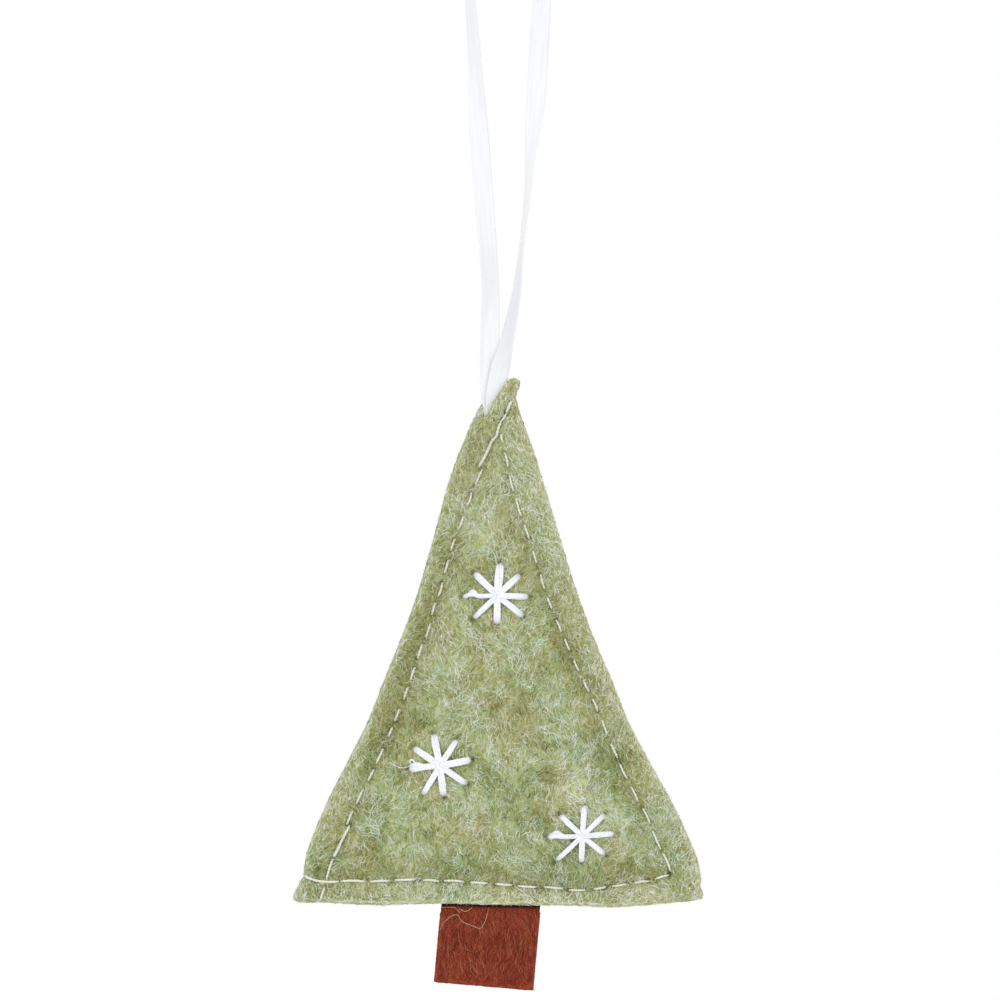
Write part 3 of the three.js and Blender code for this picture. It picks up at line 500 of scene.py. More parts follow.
def make_piece(name, points, faces, material, values=None, uv=None, uv_name="Weave", crease=180):
    """A smooth mesh object from points in millimetres and arrays of faces with as many columns as corners.
    values are floats for each point by attribute name, uv is a pair for each point, and edges over crease
    degrees are sharp."""
    points = np.asarray(points, float).reshape(-1, 3) * MM
    corners = np.concatenate([np.asarray(f).ravel() for f in faces]).astype(np.int32)
    counts = np.concatenate([np.full(len(f), np.asarray(f).shape[1]) for f in faces])
    starts = np.concatenate([[0], np.cumsum(counts)[:-1]]).astype(np.int32)
    mesh = bpy.data.meshes.new(name)
    mesh.vertices.add(len(points))
    mesh.vertices.foreach_set("co", points.astype(np.float32).ravel())
    mesh.loops.add(len(corners))
    mesh.loops.foreach_set("vertex_index", corners)
    mesh.polygons.add(len(counts))
    mesh.polygons.foreach_set("loop_start", starts)
    mesh.polygons.foreach_set("use_smooth", np.ones(len(counts), bool))
    mesh.update(calc_edges=True)
    for key, value in (values or {}).items():
        attribute = mesh.attributes.new(key, "FLOAT", "POINT")
        attribute.data.foreach_set("value", np.asarray(value, np.float32).ravel())
    if uv is not None:
        layer = mesh.uv_layers.new(name=uv_name)
        layer.uv.foreach_set("vector", np.asarray(uv, np.float32).reshape(-1, 2)[corners].ravel())
    mesh.validate()
    mesh.set_sharp_from_angle(angle=math.radians(crease))
    mesh.materials.append(material)
    made = bpy.data.objects.new(name, mesh)
    bpy.context.scene.collection.objects.link(made)
    return made


def quads_of(index, close_columns=False):
    """The quads of a grid of point numbers, row by row; close_columns joins the last column to the first."""
    if close_columns:
        index = np.concatenate([index, index[:, :1]], axis=1)
    corners = (index[:-1, :-1], index[:-1, 1:], index[1:, 1:], index[1:, :-1])
    return np.stack(corners, axis=-1).reshape(-1, 4)


def slab(outer, inner, flip=False):
    """A closed sheet from two grids of points of one size: both faces, and a strip round the rim."""
    rows, columns = outer.shape[:2]
    index = np.arange(rows * columns).reshape(rows, columns)
    below = index + rows * columns
    rim = np.concatenate([index[0, :-1], index[:-1, -1], index[-1, :0:-1], index[:0:-1, 0]])
    strip = quads_of(np.stack([rim + rows * columns, rim]).T[::-1])
    closing = np.array([[rim[0] + rows * columns, rim[0], rim[-1], rim[-1] + rows * columns]])
    faces = [quads_of(index), quads_of(below)[:, ::-1], strip, closing]
    if flip:
        faces = [f[:, ::-1] for f in faces]
    return np.concatenate([outer.reshape(-1, 3), inner.reshape(-1, 3)]), faces


def unit(vectors):
    """The vectors at length 1."""
    return vectors / np.maximum(np.linalg.norm(vectors, axis=-1, keepdims=True), 1e-9)


def tubes(paths, radii, up, sides):
    """Closed tubes along paths, an array of (tube, step, xyz): each step has a ring of points at radii (tube,
    step) round it, in the plane across the path, the first towards up, and one face closes each end."""
    count, steps = paths.shape[:2]
    along = unit(np.gradient(paths, axis=1))
    across = unit(np.cross(along, np.broadcast_to(up, paths.shape)))
    over = np.cross(across, along)
    turn = 2 * np.pi * np.arange(sides) / sides
    ring = np.cos(turn)[:, None] * over[:, :, None] + np.sin(turn)[:, None] * across[:, :, None]
    points = paths[:, :, None] + radii[:, :, None, None] * ring
    index = np.arange(count * steps * sides).reshape(count, steps, sides)
    lower = index[:, :-1].reshape(-1, sides)
    upper = lower + sides
    walls = np.stack([lower, np.roll(lower, -1, 1), np.roll(upper, -1, 1), upper], axis=-1).reshape(-1, 4)
    return points.reshape(-1, 3), [walls, index[:, 0, ::-1], index[:, -1]]


def strand_cells(count, steps, sides):
    """UV places that give each strand its own square cell of the map, its ring across and its steps up."""
    wide = math.ceil(math.sqrt(count))
    cell = np.arange(count)
    u = (cell % wide)[:, None, None] + (0.2 + 0.6 * np.arange(sides) / (sides - 1))[None, None, :]
    v = (cell // wide)[:, None, None] + (0.2 + 0.6 * np.arange(steps) / (steps - 1))[None, :, None]
    u, v = np.broadcast_arrays(u, v)
    return np.stack([u, v], axis=-1) / wide


def strand_piece(name, paths, radii, up, material, tint, sides=3, cool=0.0):
    """Many thin strands in one mesh; tint and cool are from 0 to 1, for each strand or each of its steps."""
    points, faces = tubes(paths, radii, up, sides)
    count, steps = paths.shape[:2]
    values = {}
    for key, value in (("tint", tint), ("cool", cool)):
        value = np.broadcast_to(value, (count,)) if np.ndim(value) < 2 else value
        values[key] = np.broadcast_to(value.reshape(count, -1, 1), (count, steps, sides))
    return make_piece(name, points, faces, material, values, strand_cells(count, steps, sides), "OFBake")


def on_tree(piece, node=None):
    """The piece moves with the tree, in that slot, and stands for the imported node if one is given."""
    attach(piece, "tree")
    if node:
        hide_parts(node)


# Materials

def opaque(colour):
    """The colour with its alpha."""
    return (*colour, 1)


class Net:
    """Adds nodes to one tree and joins them."""

    def __init__(self, tree):
        self.tree = tree

    def put(self, socket, value):
        if isinstance(value, bpy.types.NodeSocket):
            self.tree.links.new(value, socket)
        else:
            socket.default_value = value

    def node(self, kind, inputs=None, **settings):
        made = self.tree.nodes.new("ShaderNode" + kind)
        for key, value in settings.items():
            setattr(made, key, value)
        for key, value in (inputs or {}).items():
            self.put(made.inputs[key], value)
        return made

    def attribute(self, name):
        return self.node("Attribute", attribute_name=name).outputs["Fac"]

    def coords(self):
        return self.node("TexCoord").outputs["Object"]

    def noise(self, vector, scale, detail=2.0, roughness=0.5):
        inputs = {"Vector": vector, "Scale": scale, "Detail": detail, "Roughness": roughness}
        return self.node("TexNoise", inputs)

    def math(self, operation, a, b=0.0):
        return self.node("Math", {0: a, 1: b}, operation=operation).outputs[0]

    def vector(self, operation, a, b):
        return self.node("VectorMath", {0: a, 1: b}, operation=operation).outputs[0]

    def scaled(self, vector, scale):
        return self.node("VectorMath", {0: vector, "Scale": scale}, operation="SCALE").outputs[0]

    def stretch(self, vector, scale, turn=(0, 0, 0), shift=(0, 0, 0)):
        inputs = {"Vector": vector, "Location": shift, "Rotation": turn, "Scale": scale}
        return self.node("Mapping", inputs).outputs[0]

    def mix(self, factor, a, b):
        return self.node("Mix", {0: factor, 6: a, 7: b}, data_type="RGBA").outputs[2]

    def band(self, value, low, high, start=0.0, end=1.0):
        inputs = {"Value": value, "From Min": low, "From Max": high, "To Min": start, "To Max": end}
        return self.node("MapRange", inputs, interpolation_type="SMOOTHSTEP").outputs[0]

    def ramp(self, value, stops):
        made = self.node("ValToRGB", {0: value})
        elements = made.color_ramp.elements
        while len(elements) < len(stops):
            elements.new(0.5)
        for element, (position, colour) in zip(elements, stops):
            element.position = position
            element.color = opaque(colour)
        return made.outputs[0]

    def bump(self, shader, strength, distance, height):
        inputs = {"Strength": strength, "Distance": distance, "Height": height}
        self.put(shader.inputs["Normal"], self.node("Bump", inputs).outputs[0])


def new_material(name, **plain):
    """A material with one Principled shader, and plain values for its sockets: (material, net, shader)."""
    material = bpy.data.materials.new(name)
    material.use_nodes = True
    shader = material.node_tree.nodes["Principled BSDF"]
    for key, value in plain.items():
        shader.inputs[key.replace("_", " ")].default_value = value
    return material, Net(material.node_tree), shader


def new_group(name, inputs, outputs):
    """A node group whose sockets are types by name: (group, net, what it is given, what it gives)."""
    group = bpy.data.node_groups.new(name, "ShaderNodeTree")
    for sockets, way in ((inputs, "INPUT"), (outputs, "OUTPUT")):
        for socket, kind in sockets.items():
            group.interface.new_socket(socket, in_out=way, socket_type="NodeSocket" + kind)
    given = group.nodes.new("NodeGroupInput")
    result = group.nodes.new("NodeGroupOutput")
    return group, Net(group), given.outputs, result.inputs


def wool_group():
    """Matted wool: fibre lines where three warped noises cross their middle, cloudy patches, and specks.
    Fibres is the lines' mask, Clouds and Specks are values from 0 to 1, and Height is for a bump."""
    values = dict.fromkeys(("Fibres", "Clouds", "Specks", "Height"), "Float")
    group, net, given, result = new_group("Matted wool", {"Vector": "Vector", "Grain": "Float"}, values)
    coords = net.scaled(given["Vector"], given["Grain"])
    bend = net.noise(coords, 330.0, 1.0).outputs["Color"]
    bend = net.scaled(net.vector("SUBTRACT", bend, (0.5, 0.5, 0.5)), 0.004)
    warped = net.vector("ADD", coords, bend)
    lines = None
    for scale, turn, stretch in WOOL_LINES:
        turned = net.stretch(warped, (1.0, 1.0, stretch), (0, turn, 0), (scale * MM, 0, 0))
        noise = net.noise(turned, scale, 1.0).outputs["Fac"]
        line = net.math("ABSOLUTE", net.math("SUBTRACT", noise, 0.5))
        line = net.band(line, 0.0, 0.05, 1.0, 0.0)
        lines = line if lines is None else net.math("MAXIMUM", lines, line)
    clouds = net.noise(coords, 190.0, 4.0, 0.62).outputs["Fac"]
    specks = net.noise(net.stretch(warped, (1, 1, 0.6)), 560.0, 2.0).outputs["Fac"]
    fuzz = net.noise(coords, 1900.0, 2.0, 0.7).outputs["Fac"]
    net.put(result["Fibres"], lines)
    net.put(result["Clouds"], net.band(clouds, 0.3, 0.7))
    net.put(result["Specks"], net.band(specks, 0.58, 0.74))
    net.put(result["Height"], net.math("ADD", net.math("MULTIPLY", lines, 0.6), fuzz))
    return group


def wool_at(net, wool, grain):
    """What the wool group gives on a piece, finer for a higher grain."""
    return net.node("Group", {"Vector": net.coords(), "Grain": grain}, node_tree=wool).outputs


def felt_material(name, wool, colours, grain, bump, sheen):
    """Felt: the wool group's clouds between two ground colours, with specks and fibre lines in two more. By
    the piece's own attributes it has painted shade in the low ground's colour along the seams and round the
    snowflakes, painted light in the fibres' colour at its rim, and painted shade, near black, in its needle
    holes and on the trunk under the panels' base edge."""
    low, high, fibre, speck, painted_shade_colour = (opaque(colour) for colour in colours)
    material, net, shader = new_material(
        name, Roughness=0.95, Sheen_Weight=sheen, Sheen_Roughness=0.6, Specular_IOR_Level=0.06)
    given = wool_at(net, wool, grain)
    ground = net.mix(given["Clouds"], low, high)
    ground = net.mix(net.math("MULTIPLY", given["Specks"], 0.55), ground, speck)
    cover = net.band(given["Clouds"], -0.4, 1.0, 0.15, 0.75)
    ground = net.mix(net.math("MULTIPLY", given["Fibres"], cover), ground, fibre)
    # painted shade: the ground takes its low colour along the seams and round the snowflakes
    ground = net.mix(net.math("MULTIPLY", net.attribute("painted_shade"), 0.7), ground, low)
    # painted light: the ground takes the fibres' pale colour at the rim
    ground = net.mix(net.math("MULTIPLY", net.attribute("rim"), 0.7), ground, fibre)
    # painted shade: near black in the needle holes and on the trunk under the panels' base edge
    net.put(shader.inputs["Base Color"], net.mix(net.attribute("hollow_and_shade"), ground, painted_shade_colour))
    net.bump(shader, bump, 0.0004, given["Height"])
    return material


def fibre_material(name, warm, cool, sheen):
    """Loose fibres, coloured strand by strand: two runs of shades by tint, mixed by how cool the fibre is."""
    material, net, shader = new_material(name, Roughness=0.9, Sheen_Weight=sheen, Specular_IOR_Level=0.08)
    tint = net.attribute("tint")
    colour = net.mix(net.attribute("cool"), net.ramp(tint, warm), net.ramp(tint, cool))
    net.put(shader.inputs["Base Color"], colour)
    return material


def thread_material(name, colours, sheen, roughness):
    """Spun thread: fine streaks of its darker shade along it, and more of that where the tint is higher, which
    on the floss is partly painted shade at its rays' ends.
    """
    material, net, shader = new_material(
        name, Roughness=roughness, Sheen_Weight=sheen, Specular_IOR_Level=0.3)
    light, shade = (opaque(colour) for colour in colours)
    streak = net.band(net.noise(net.coords(), 2600.0, 2.0).outputs["Fac"], 0.35, 0.7)
    tint = net.math("MULTIPLY", net.attribute("tint"), 0.7)
    amount = net.math("ADD", net.math("MULTIPLY", streak, 0.4), tint)
    net.put(shader.inputs["Base Color"], net.mix(amount, light, shade))
    net.bump(shader, 0.25, 0.0001, streak)
    return material


def satin_material():
    """White satin: fine floats along the ribbon vary its gloss and shade. By its own attributes it has painted
    light, whiter where it is turned, and painted shade, greyer near the crossing of its legs."""
    material, net, shader = new_material(
        "White satin", Roughness=0.45, Sheen_Weight=0.1, Anisotropic=0.4, Specular_IOR_Level=0.2)
    light, shade = (opaque(colour) for colour in SATIN)
    weave = net.node("UVMap", uv_map="Weave").outputs[0]
    floats = net.noise(net.stretch(weave, (5200.0, 260.0, 1.0)), 1.0, 3.0, 0.6).outputs["Fac"]
    streaks = net.noise(net.stretch(weave, (1700.0, 90.0, 1.0)), 1.0, 2.0).outputs["Fac"]
    streaks = net.band(streaks, 0.42, 0.68, 0.0, 0.65)
    colour = net.mix(net.math("ADD", net.band(floats, 0.3, 0.7, 0.0, 0.35), streaks), light, shade)
    # painted light where the ribbon turns edge on
    colour = net.mix(net.attribute("painted_ribbon_light"), colour, opaque(SATIN_PAINTED_LIGHT))
    # painted shade near the crossing of the legs
    colour = net.mix(net.attribute("painted_ribbon_shade"), colour, opaque(SATIN_PAINTED_SHADE))
    net.put(shader.inputs["Base Color"], colour)
    net.put(shader.inputs["Roughness"], net.band(floats, 0.2, 0.8, 0.34, 0.5))
    net.bump(shader, 0.2, 0.00008, floats)
    return material


def wadding_material(wool):
    """Loose white wadding, clouded and a little uneven."""
    material, net, shader = new_material("Loose wadding", Roughness=0.95, Sheen_Weight=0.3)
    given = wool_at(net, wool, 0.7)
    low, high = (opaque(colour) for colour in WADDING_WHITES)
    net.put(shader.inputs["Base Color"], net.mix(given["Clouds"], low, high))
    net.bump(shader, 0.6, 0.0006, given["Height"])
    return material


# Camera, light and floor

def make_camera():
    """A long lens, level with the middle of the picture, that takes in VIEW_SIZE at the tree."""
    lens = bpy.data.cameras.new("camera")
    lens.sensor_width = SENSOR_WIDTH
    lens.lens = SENSOR_WIDTH * VIEW_DISTANCE / VIEW_SIZE
    camera = bpy.data.objects.new("camera", lens)
    camera.location = (VIEW_CENTRE[0] * MM, -VIEW_DISTANCE * MM, VIEW_CENTRE[2] * MM)
    camera.rotation_euler = (math.pi / 2, 0, 0)
    bpy.context.scene.collection.objects.link(camera)
    bpy.context.scene.camera = camera


def make_lamp(name, spot, power, size):
    """A square soft lamp at that spot, aimed at the middle of the picture."""
    lamp = bpy.data.lights.new(name, "AREA")
    lamp.energy = power
    lamp.size = size
    made = bpy.data.objects.new(name, lamp)
    made.location = spot
    made.rotation_euler = aim_angles(np.array(VIEW_CENTRE) * MM - np.array(spot))
    bpy.context.scene.collection.objects.link(made)


def aim_angles(aim):
    """The angles that turn a lamp's -Z towards aim: a tilt from straight down, then a turn about Z."""
    flat = math.hypot(aim[0], aim[1])
    return (math.atan2(flat, -aim[2]), 0, math.atan2(-aim[0], aim[1]))


def make_world():
    """Soft light from all round; the camera, glossy and transmitted rays see plain white."""
    world = bpy.data.worlds.new("studio")
    bpy.context.scene.world = world
    world.use_nodes = True
    net = Net(world.node_tree)
    rays = net.node("LightPath").outputs
    seen = net.math("MAXIMUM", rays["Is Camera Ray"], rays["Is Glossy Ray"])
    seen = net.math("MAXIMUM", seen, rays["Is Transmission Ray"])
    light = world.node_tree.nodes["Background"]
    light.inputs["Color"].default_value = opaque(WHITE)
    light.inputs["Strength"].default_value = AMBIENT
    white = net.node("Background", {"Color": opaque(WHITE), "Strength": 1.0})
    mixed = net.node("MixShader", {0: seen, 1: light.outputs[0], 2: white.outputs[0]})
    net.put(world.node_tree.nodes["World Output"].inputs["Surface"], mixed.outputs[0])


def make_floor():
    """A pale disc that keeps the ornament's shadow, fades to the white round it and is clear from below."""
    index = np.arange(FLOOR_RINGS * FLOOR_SPOKES).reshape(FLOOR_RINGS, FLOOR_SPOKES)
    radius = FLOOR_RADIUS * np.linspace(0.02, 1, FLOOR_RINGS)[:, None]
    turn = 2 * np.pi * np.arange(FLOOR_SPOKES)[None, :] / FLOOR_SPOKES
    level = np.full(index.shape, FLOOR_Z)
    points = np.stack([radius * np.cos(turn), radius * np.sin(turn), level], axis=-1)
    material, net, shader = new_material(
        "Pale floor", Roughness=0.9, Base_Color=opaque(FLOOR_GREY), Specular_IOR_Level=0.1)
    coords = net.node("SeparateXYZ", {0: net.coords()}).outputs
    squares = [net.math("POWER", coords[axis], 2.0) for axis in (0, 1)]
    far = net.math("POWER", net.math("ADD", *squares), 0.5)
    fade = net.band(far, *(share * FLOOR_RADIUS * MM for share in FLOOR_FADE))
    rays = net.node("LightPath").outputs
    white = net.node("Emission", {"Color": opaque(WHITE), "Strength": 1.0})
    seen = net.math("MULTIPLY", fade, rays["Is Camera Ray"])
    top = net.node("MixShader", {0: seen, 1: shader.outputs[0], 2: white.outputs[0]})
    under = net.node("NewGeometry").outputs["Backfacing"]
    clear = net.node("BsdfTransparent")
    hidden = net.math("MULTIPLY", under, rays["Is Camera Ray"])
    whole = net.node("MixShader", {0: hidden, 1: top.outputs[0], 2: clear.outputs[0]})
    net.put(material.node_tree.nodes["Material Output"].inputs["Surface"], whole.outputs[0])
    floor = make_piece("floor", points, [quads_of(index, True)[:, ::-1], index[:1]], material)


make_camera()
make_world()
make_floor()
for lamp, (spot, power, size) in LAMPS.items():
    make_lamp(lamp, spot, power, size)

bpy.context.scene.view_settings.view_transform = "Standard"


# Ribbon

def ribbon_frames():
    """The ribbon's whole route, evenly stepped: middles, width directions, face directions, length so far,
    its painted light, as the squared sine of its turn, and its painted shade, near its legs' crossing."""
    route = np.array(LEFT_TAIL + LOOP_ROUTE + RIGHT_TAIL, float)
    knots = np.stack([route[:, 0], route[:, 1], RIBBON_TOP - route[:, 2]], axis=1)
    chord = np.concatenate([[0], np.cumsum(np.linalg.norm(np.diff(knots, axis=0), axis=1))])
    at = np.linspace(0, chord[-1], round(chord[-1] / RIBBON_STEP) + 1)
    middle = smooth_through(chord, knots, at)
    turn = np.radians(smooth_through(chord, route[:, 3], at))
    along = unit(np.gradient(middle, axis=0))
    wide = np.stack([np.cos(turn), np.sin(turn), np.zeros_like(turn)], axis=1)
    wide = unit(wide - along * (wide * along).sum(1, keepdims=True))
    drop = RIBBON_TOP - middle[:, 2]
    left = turn >= 0
    # painted light on the turned stretches of both legs
    painted_ribbon_light = np.where(left, *RIBBON_PAINTED_LIGHT) * np.sin(turn) ** 2 * (1 - ease(drop, *RIBBON_PAINTED_LIGHT_END))
    grey, middle_drop, reach = RIBBON_PAINTED_SHADE_LEFT
    left_painted_shade = grey * bell(drop - middle_drop, reach)
    grey, *start = RIBBON_PAINTED_SHADE_RIGHT
    less, *end = RIBBON_PAINTED_SHADE_LESS
    right_painted_shade = grey * ease(drop, *start) * (1 - less * ease(drop, *end))
    # painted shade where the legs cross and shade one another
    painted_ribbon_shade = np.where(left, left_painted_shade, right_painted_shade)
    return middle, wide, np.cross(along, wide), at, painted_ribbon_light, painted_ribbon_shade


def ribbon_profile():
    """The ribbon's section: (across, through) round a flat band with two slightly thicker woven edges."""
    share = np.sin(np.linspace(-np.pi / 2, np.pi / 2, RIBBON_ACROSS))
    across = RIBBON_WIDTH / 2 * share
    edge = RIBBON_WIDTH / 2 - np.abs(across)
    half = RIBBON_THICKNESS / 2 * (0.75 + 0.55 * bell(edge - 0.2, 0.16)) * np.sqrt(1 - 0.9 * bell(edge, 0.05))
    return np.concatenate([np.stack([across, half], 1), np.stack([across[::-1], -half[::-1]], 1)])


def ribbon_piece(name, kept, frames, material):
    """The stretches of ribbon in kept, each a slice of the route: the section carried along it, its face
    cupped across its width by a slowly changing amount, with a flat face at both ends."""
    middle, wide, face, at, painted_ribbon_light, painted_ribbon_shade = frames
    profile = ribbon_profile()
    points, faces, uv = [], [], []
    values = {"painted_ribbon_light": [], "painted_ribbon_shade": []}
    first = 0
    for part in kept:
        cup = RIBBON_CUP[0] * ripple(at[part], 0 * at[part], RIBBON_CUP[1], RIBBON_CUP_SEED)
        through = profile[:, 1] + cup[:, None] * ((2 * profile[:, 0] / RIBBON_WIDTH) ** 2 - 0.4)
        carried = middle[part, None] + profile[:, 0, None] * wide[part, None]
        carried = carried + through[..., None] * face[part, None]
        index = np.arange(carried[..., 0].size).reshape(carried.shape[:2]) + first
        first += index.size
        points.append(carried.reshape(-1, 3))
        faces += [quads_of(index, True)[:, ::-1], index[:1], index[-1:, ::-1]]
        along = np.broadcast_to(at[part, None], index.shape)
        uv.append(np.stack([np.broadcast_to(profile[:, 0], index.shape), along], -1).reshape(-1, 2) * MM)
        for key, value in (("painted_ribbon_light", painted_ribbon_light), ("painted_ribbon_shade", painted_ribbon_shade)):
            values[key].append(np.broadcast_to(value[part, None], index.shape).ravel())
    values = {key: np.concatenate(parts) for key, parts in values.items()}
    return make_piece(name, np.concatenate(points), faces, material, values, np.concatenate(uv), crease=60)


def make_ribbon():
    """The loop and both tails, as two pieces in place of the imported ribbon."""
    satin = satin_material()
    frames = ribbon_frames()
    middle, at = frames[0], frames[3]
    high = np.flatnonzero(middle[:, 2] > RIBBON_TOP - RIBBON_CUT_DROP)
    first, last = high[0], high[-1]
    loop = ribbon_piece("satin_loop", [slice(first, last + 1)], frames, satin)
    tails = ribbon_piece("satin_tails", [slice(0, first + 1), slice(last, len(middle))], frames, satin)
    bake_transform(loop)
    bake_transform(tails)
    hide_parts("ribbon_loop")
    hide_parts("ribbon_neck", "ribbon_tails")


# Felt panels

def base_edge(x):
    """Depth of the base's cut edge at x."""
    return smooth_through(*BASE_EDGE.T, x)


def base_seam(x):
    """Depth of the seam along the base at x."""
    return smooth_through(*BASE_SEAM.T, x)


def left_seam(depth):
    """x of the left seam."""
    return smooth_through(*LEFT_SEAM.T, depth)


def right_seam(depth):
    """x of the right seam."""
    return smooth_through(*RIGHT_SEAM.T, depth)


def seam_distance(x, depth):
    """About how far a place lies from the nearest seam, with the sides' slant taken as even."""
    left = np.hypot((x - left_seam(depth)) * SIDE_COSINE, np.maximum(LEFT_SEAM[0, 0] - depth, 0))
    past = np.maximum(np.maximum(RIGHT_SEAM[0, 0] - depth, depth - RIGHT_SEAM_END), 0)
    right = np.hypot((x - right_seam(depth)) * SIDE_COSINE, past)
    base = np.hypot(depth - base_seam(x), np.maximum(x - BASE_SEAM_END, 0))
    return np.minimum(np.minimum(left, right), base)


def parting(x, depth):
    """How far a panel's inner face stands off the middle plane: more round the trunk's root and the tails."""
    beside = np.maximum(np.abs(x - TRUNK_X) - TRUNK_WIDTH / 2 - PARTED_TRUNK_ROUND, 0)
    above = np.maximum(TRUNK_TOP_DEPTH - PARTED_TRUNK_ROUND - depth, 0)
    trunk = 1 - ease(np.hypot(beside, above), 0, PARTED_TRUNK_FADE)
    beside = np.abs(x - TAILS_X) - RIBBON_WIDTH / 2
    tails = (1 - ease(depth, *PARTED_RIBBON_DEPTHS)) * (1 - ease(beside, *PARTED_RIBBON_FADE))
    return PARTED + np.maximum((PARTED_TRUNK - PARTED) * trunk, (PARTED_RIBBON - PARTED) * tails)


def crown(x, depth):
    """The stuffing's swell between the seams: a rounded arch across, higher where the pocket is wide,
    and rising from the base seam as 1 - exp(-height / CROWN_RISE)."""
    left, right = left_seam(depth) + CHANNEL / 2, right_seam(depth) - CHANNEL / 2
    half = np.maximum((right - left) / 2, 1e-3)
    over = np.maximum(base_seam(x) - CHANNEL / 2 - depth, 0)
    share = np.clip((x - (left + right) / 2) / half, -1, 1)
    swell = (1 - np.exp(-half / CROWN_REACH)) * (1 - np.exp(-over / CROWN_RISE))
    return CROWN * swell * (1 - share * share) ** CROWN_POWER * (right > left)


def rounding(inset):
    """How far a face falls off as a quarter circle within EDGE_ROUND of the cut edge."""
    short = EDGE_ROUND - np.clip(inset, 0, EDGE_ROUND)
    return EDGE_ROUND - np.sqrt(EDGE_ROUND**2 - short**2)


def place(x, y, depth):
    """World points, in millimetres, of places on the tree."""
    return np.stack(np.broadcast_arrays(x + TREE_X, y, TIP_Z - depth), axis=-1)


def stitch_ends(pairs, line, along_base=False):
    """Both ends (x, depth) of each stitch on a seam, from its pair of depths, or of x along the base."""
    other = line(pairs)
    return np.stack([pairs, other] if along_base else [other, pairs], axis=-1)


LEFT_RUN = np.concatenate([LEFT_TOP_STITCHES, stitch_ends(LEFT_STITCHES, left_seam), LEFT_LOW_STITCHES])
RIGHT_RUN = stitch_ends(RIGHT_STITCHES, right_seam)
BASE_RUN = stitch_ends(BASE_STITCHES, base_seam, True)
NEEDLE_HOLES = np.concatenate([run.reshape(-1, 2) for run in (LEFT_RUN, RIGHT_RUN, BASE_RUN)])
FLOSS_HOLES = np.concatenate([
    np.array(centre) + HOLE_PAST_RAY * np.array(rays)[:, :2] for centre, _, rays in SNOWFLAKES.values()
])
FLOSS_CENTRES = np.array([centre for centre, _, _ in SNOWFLAKES.values()])


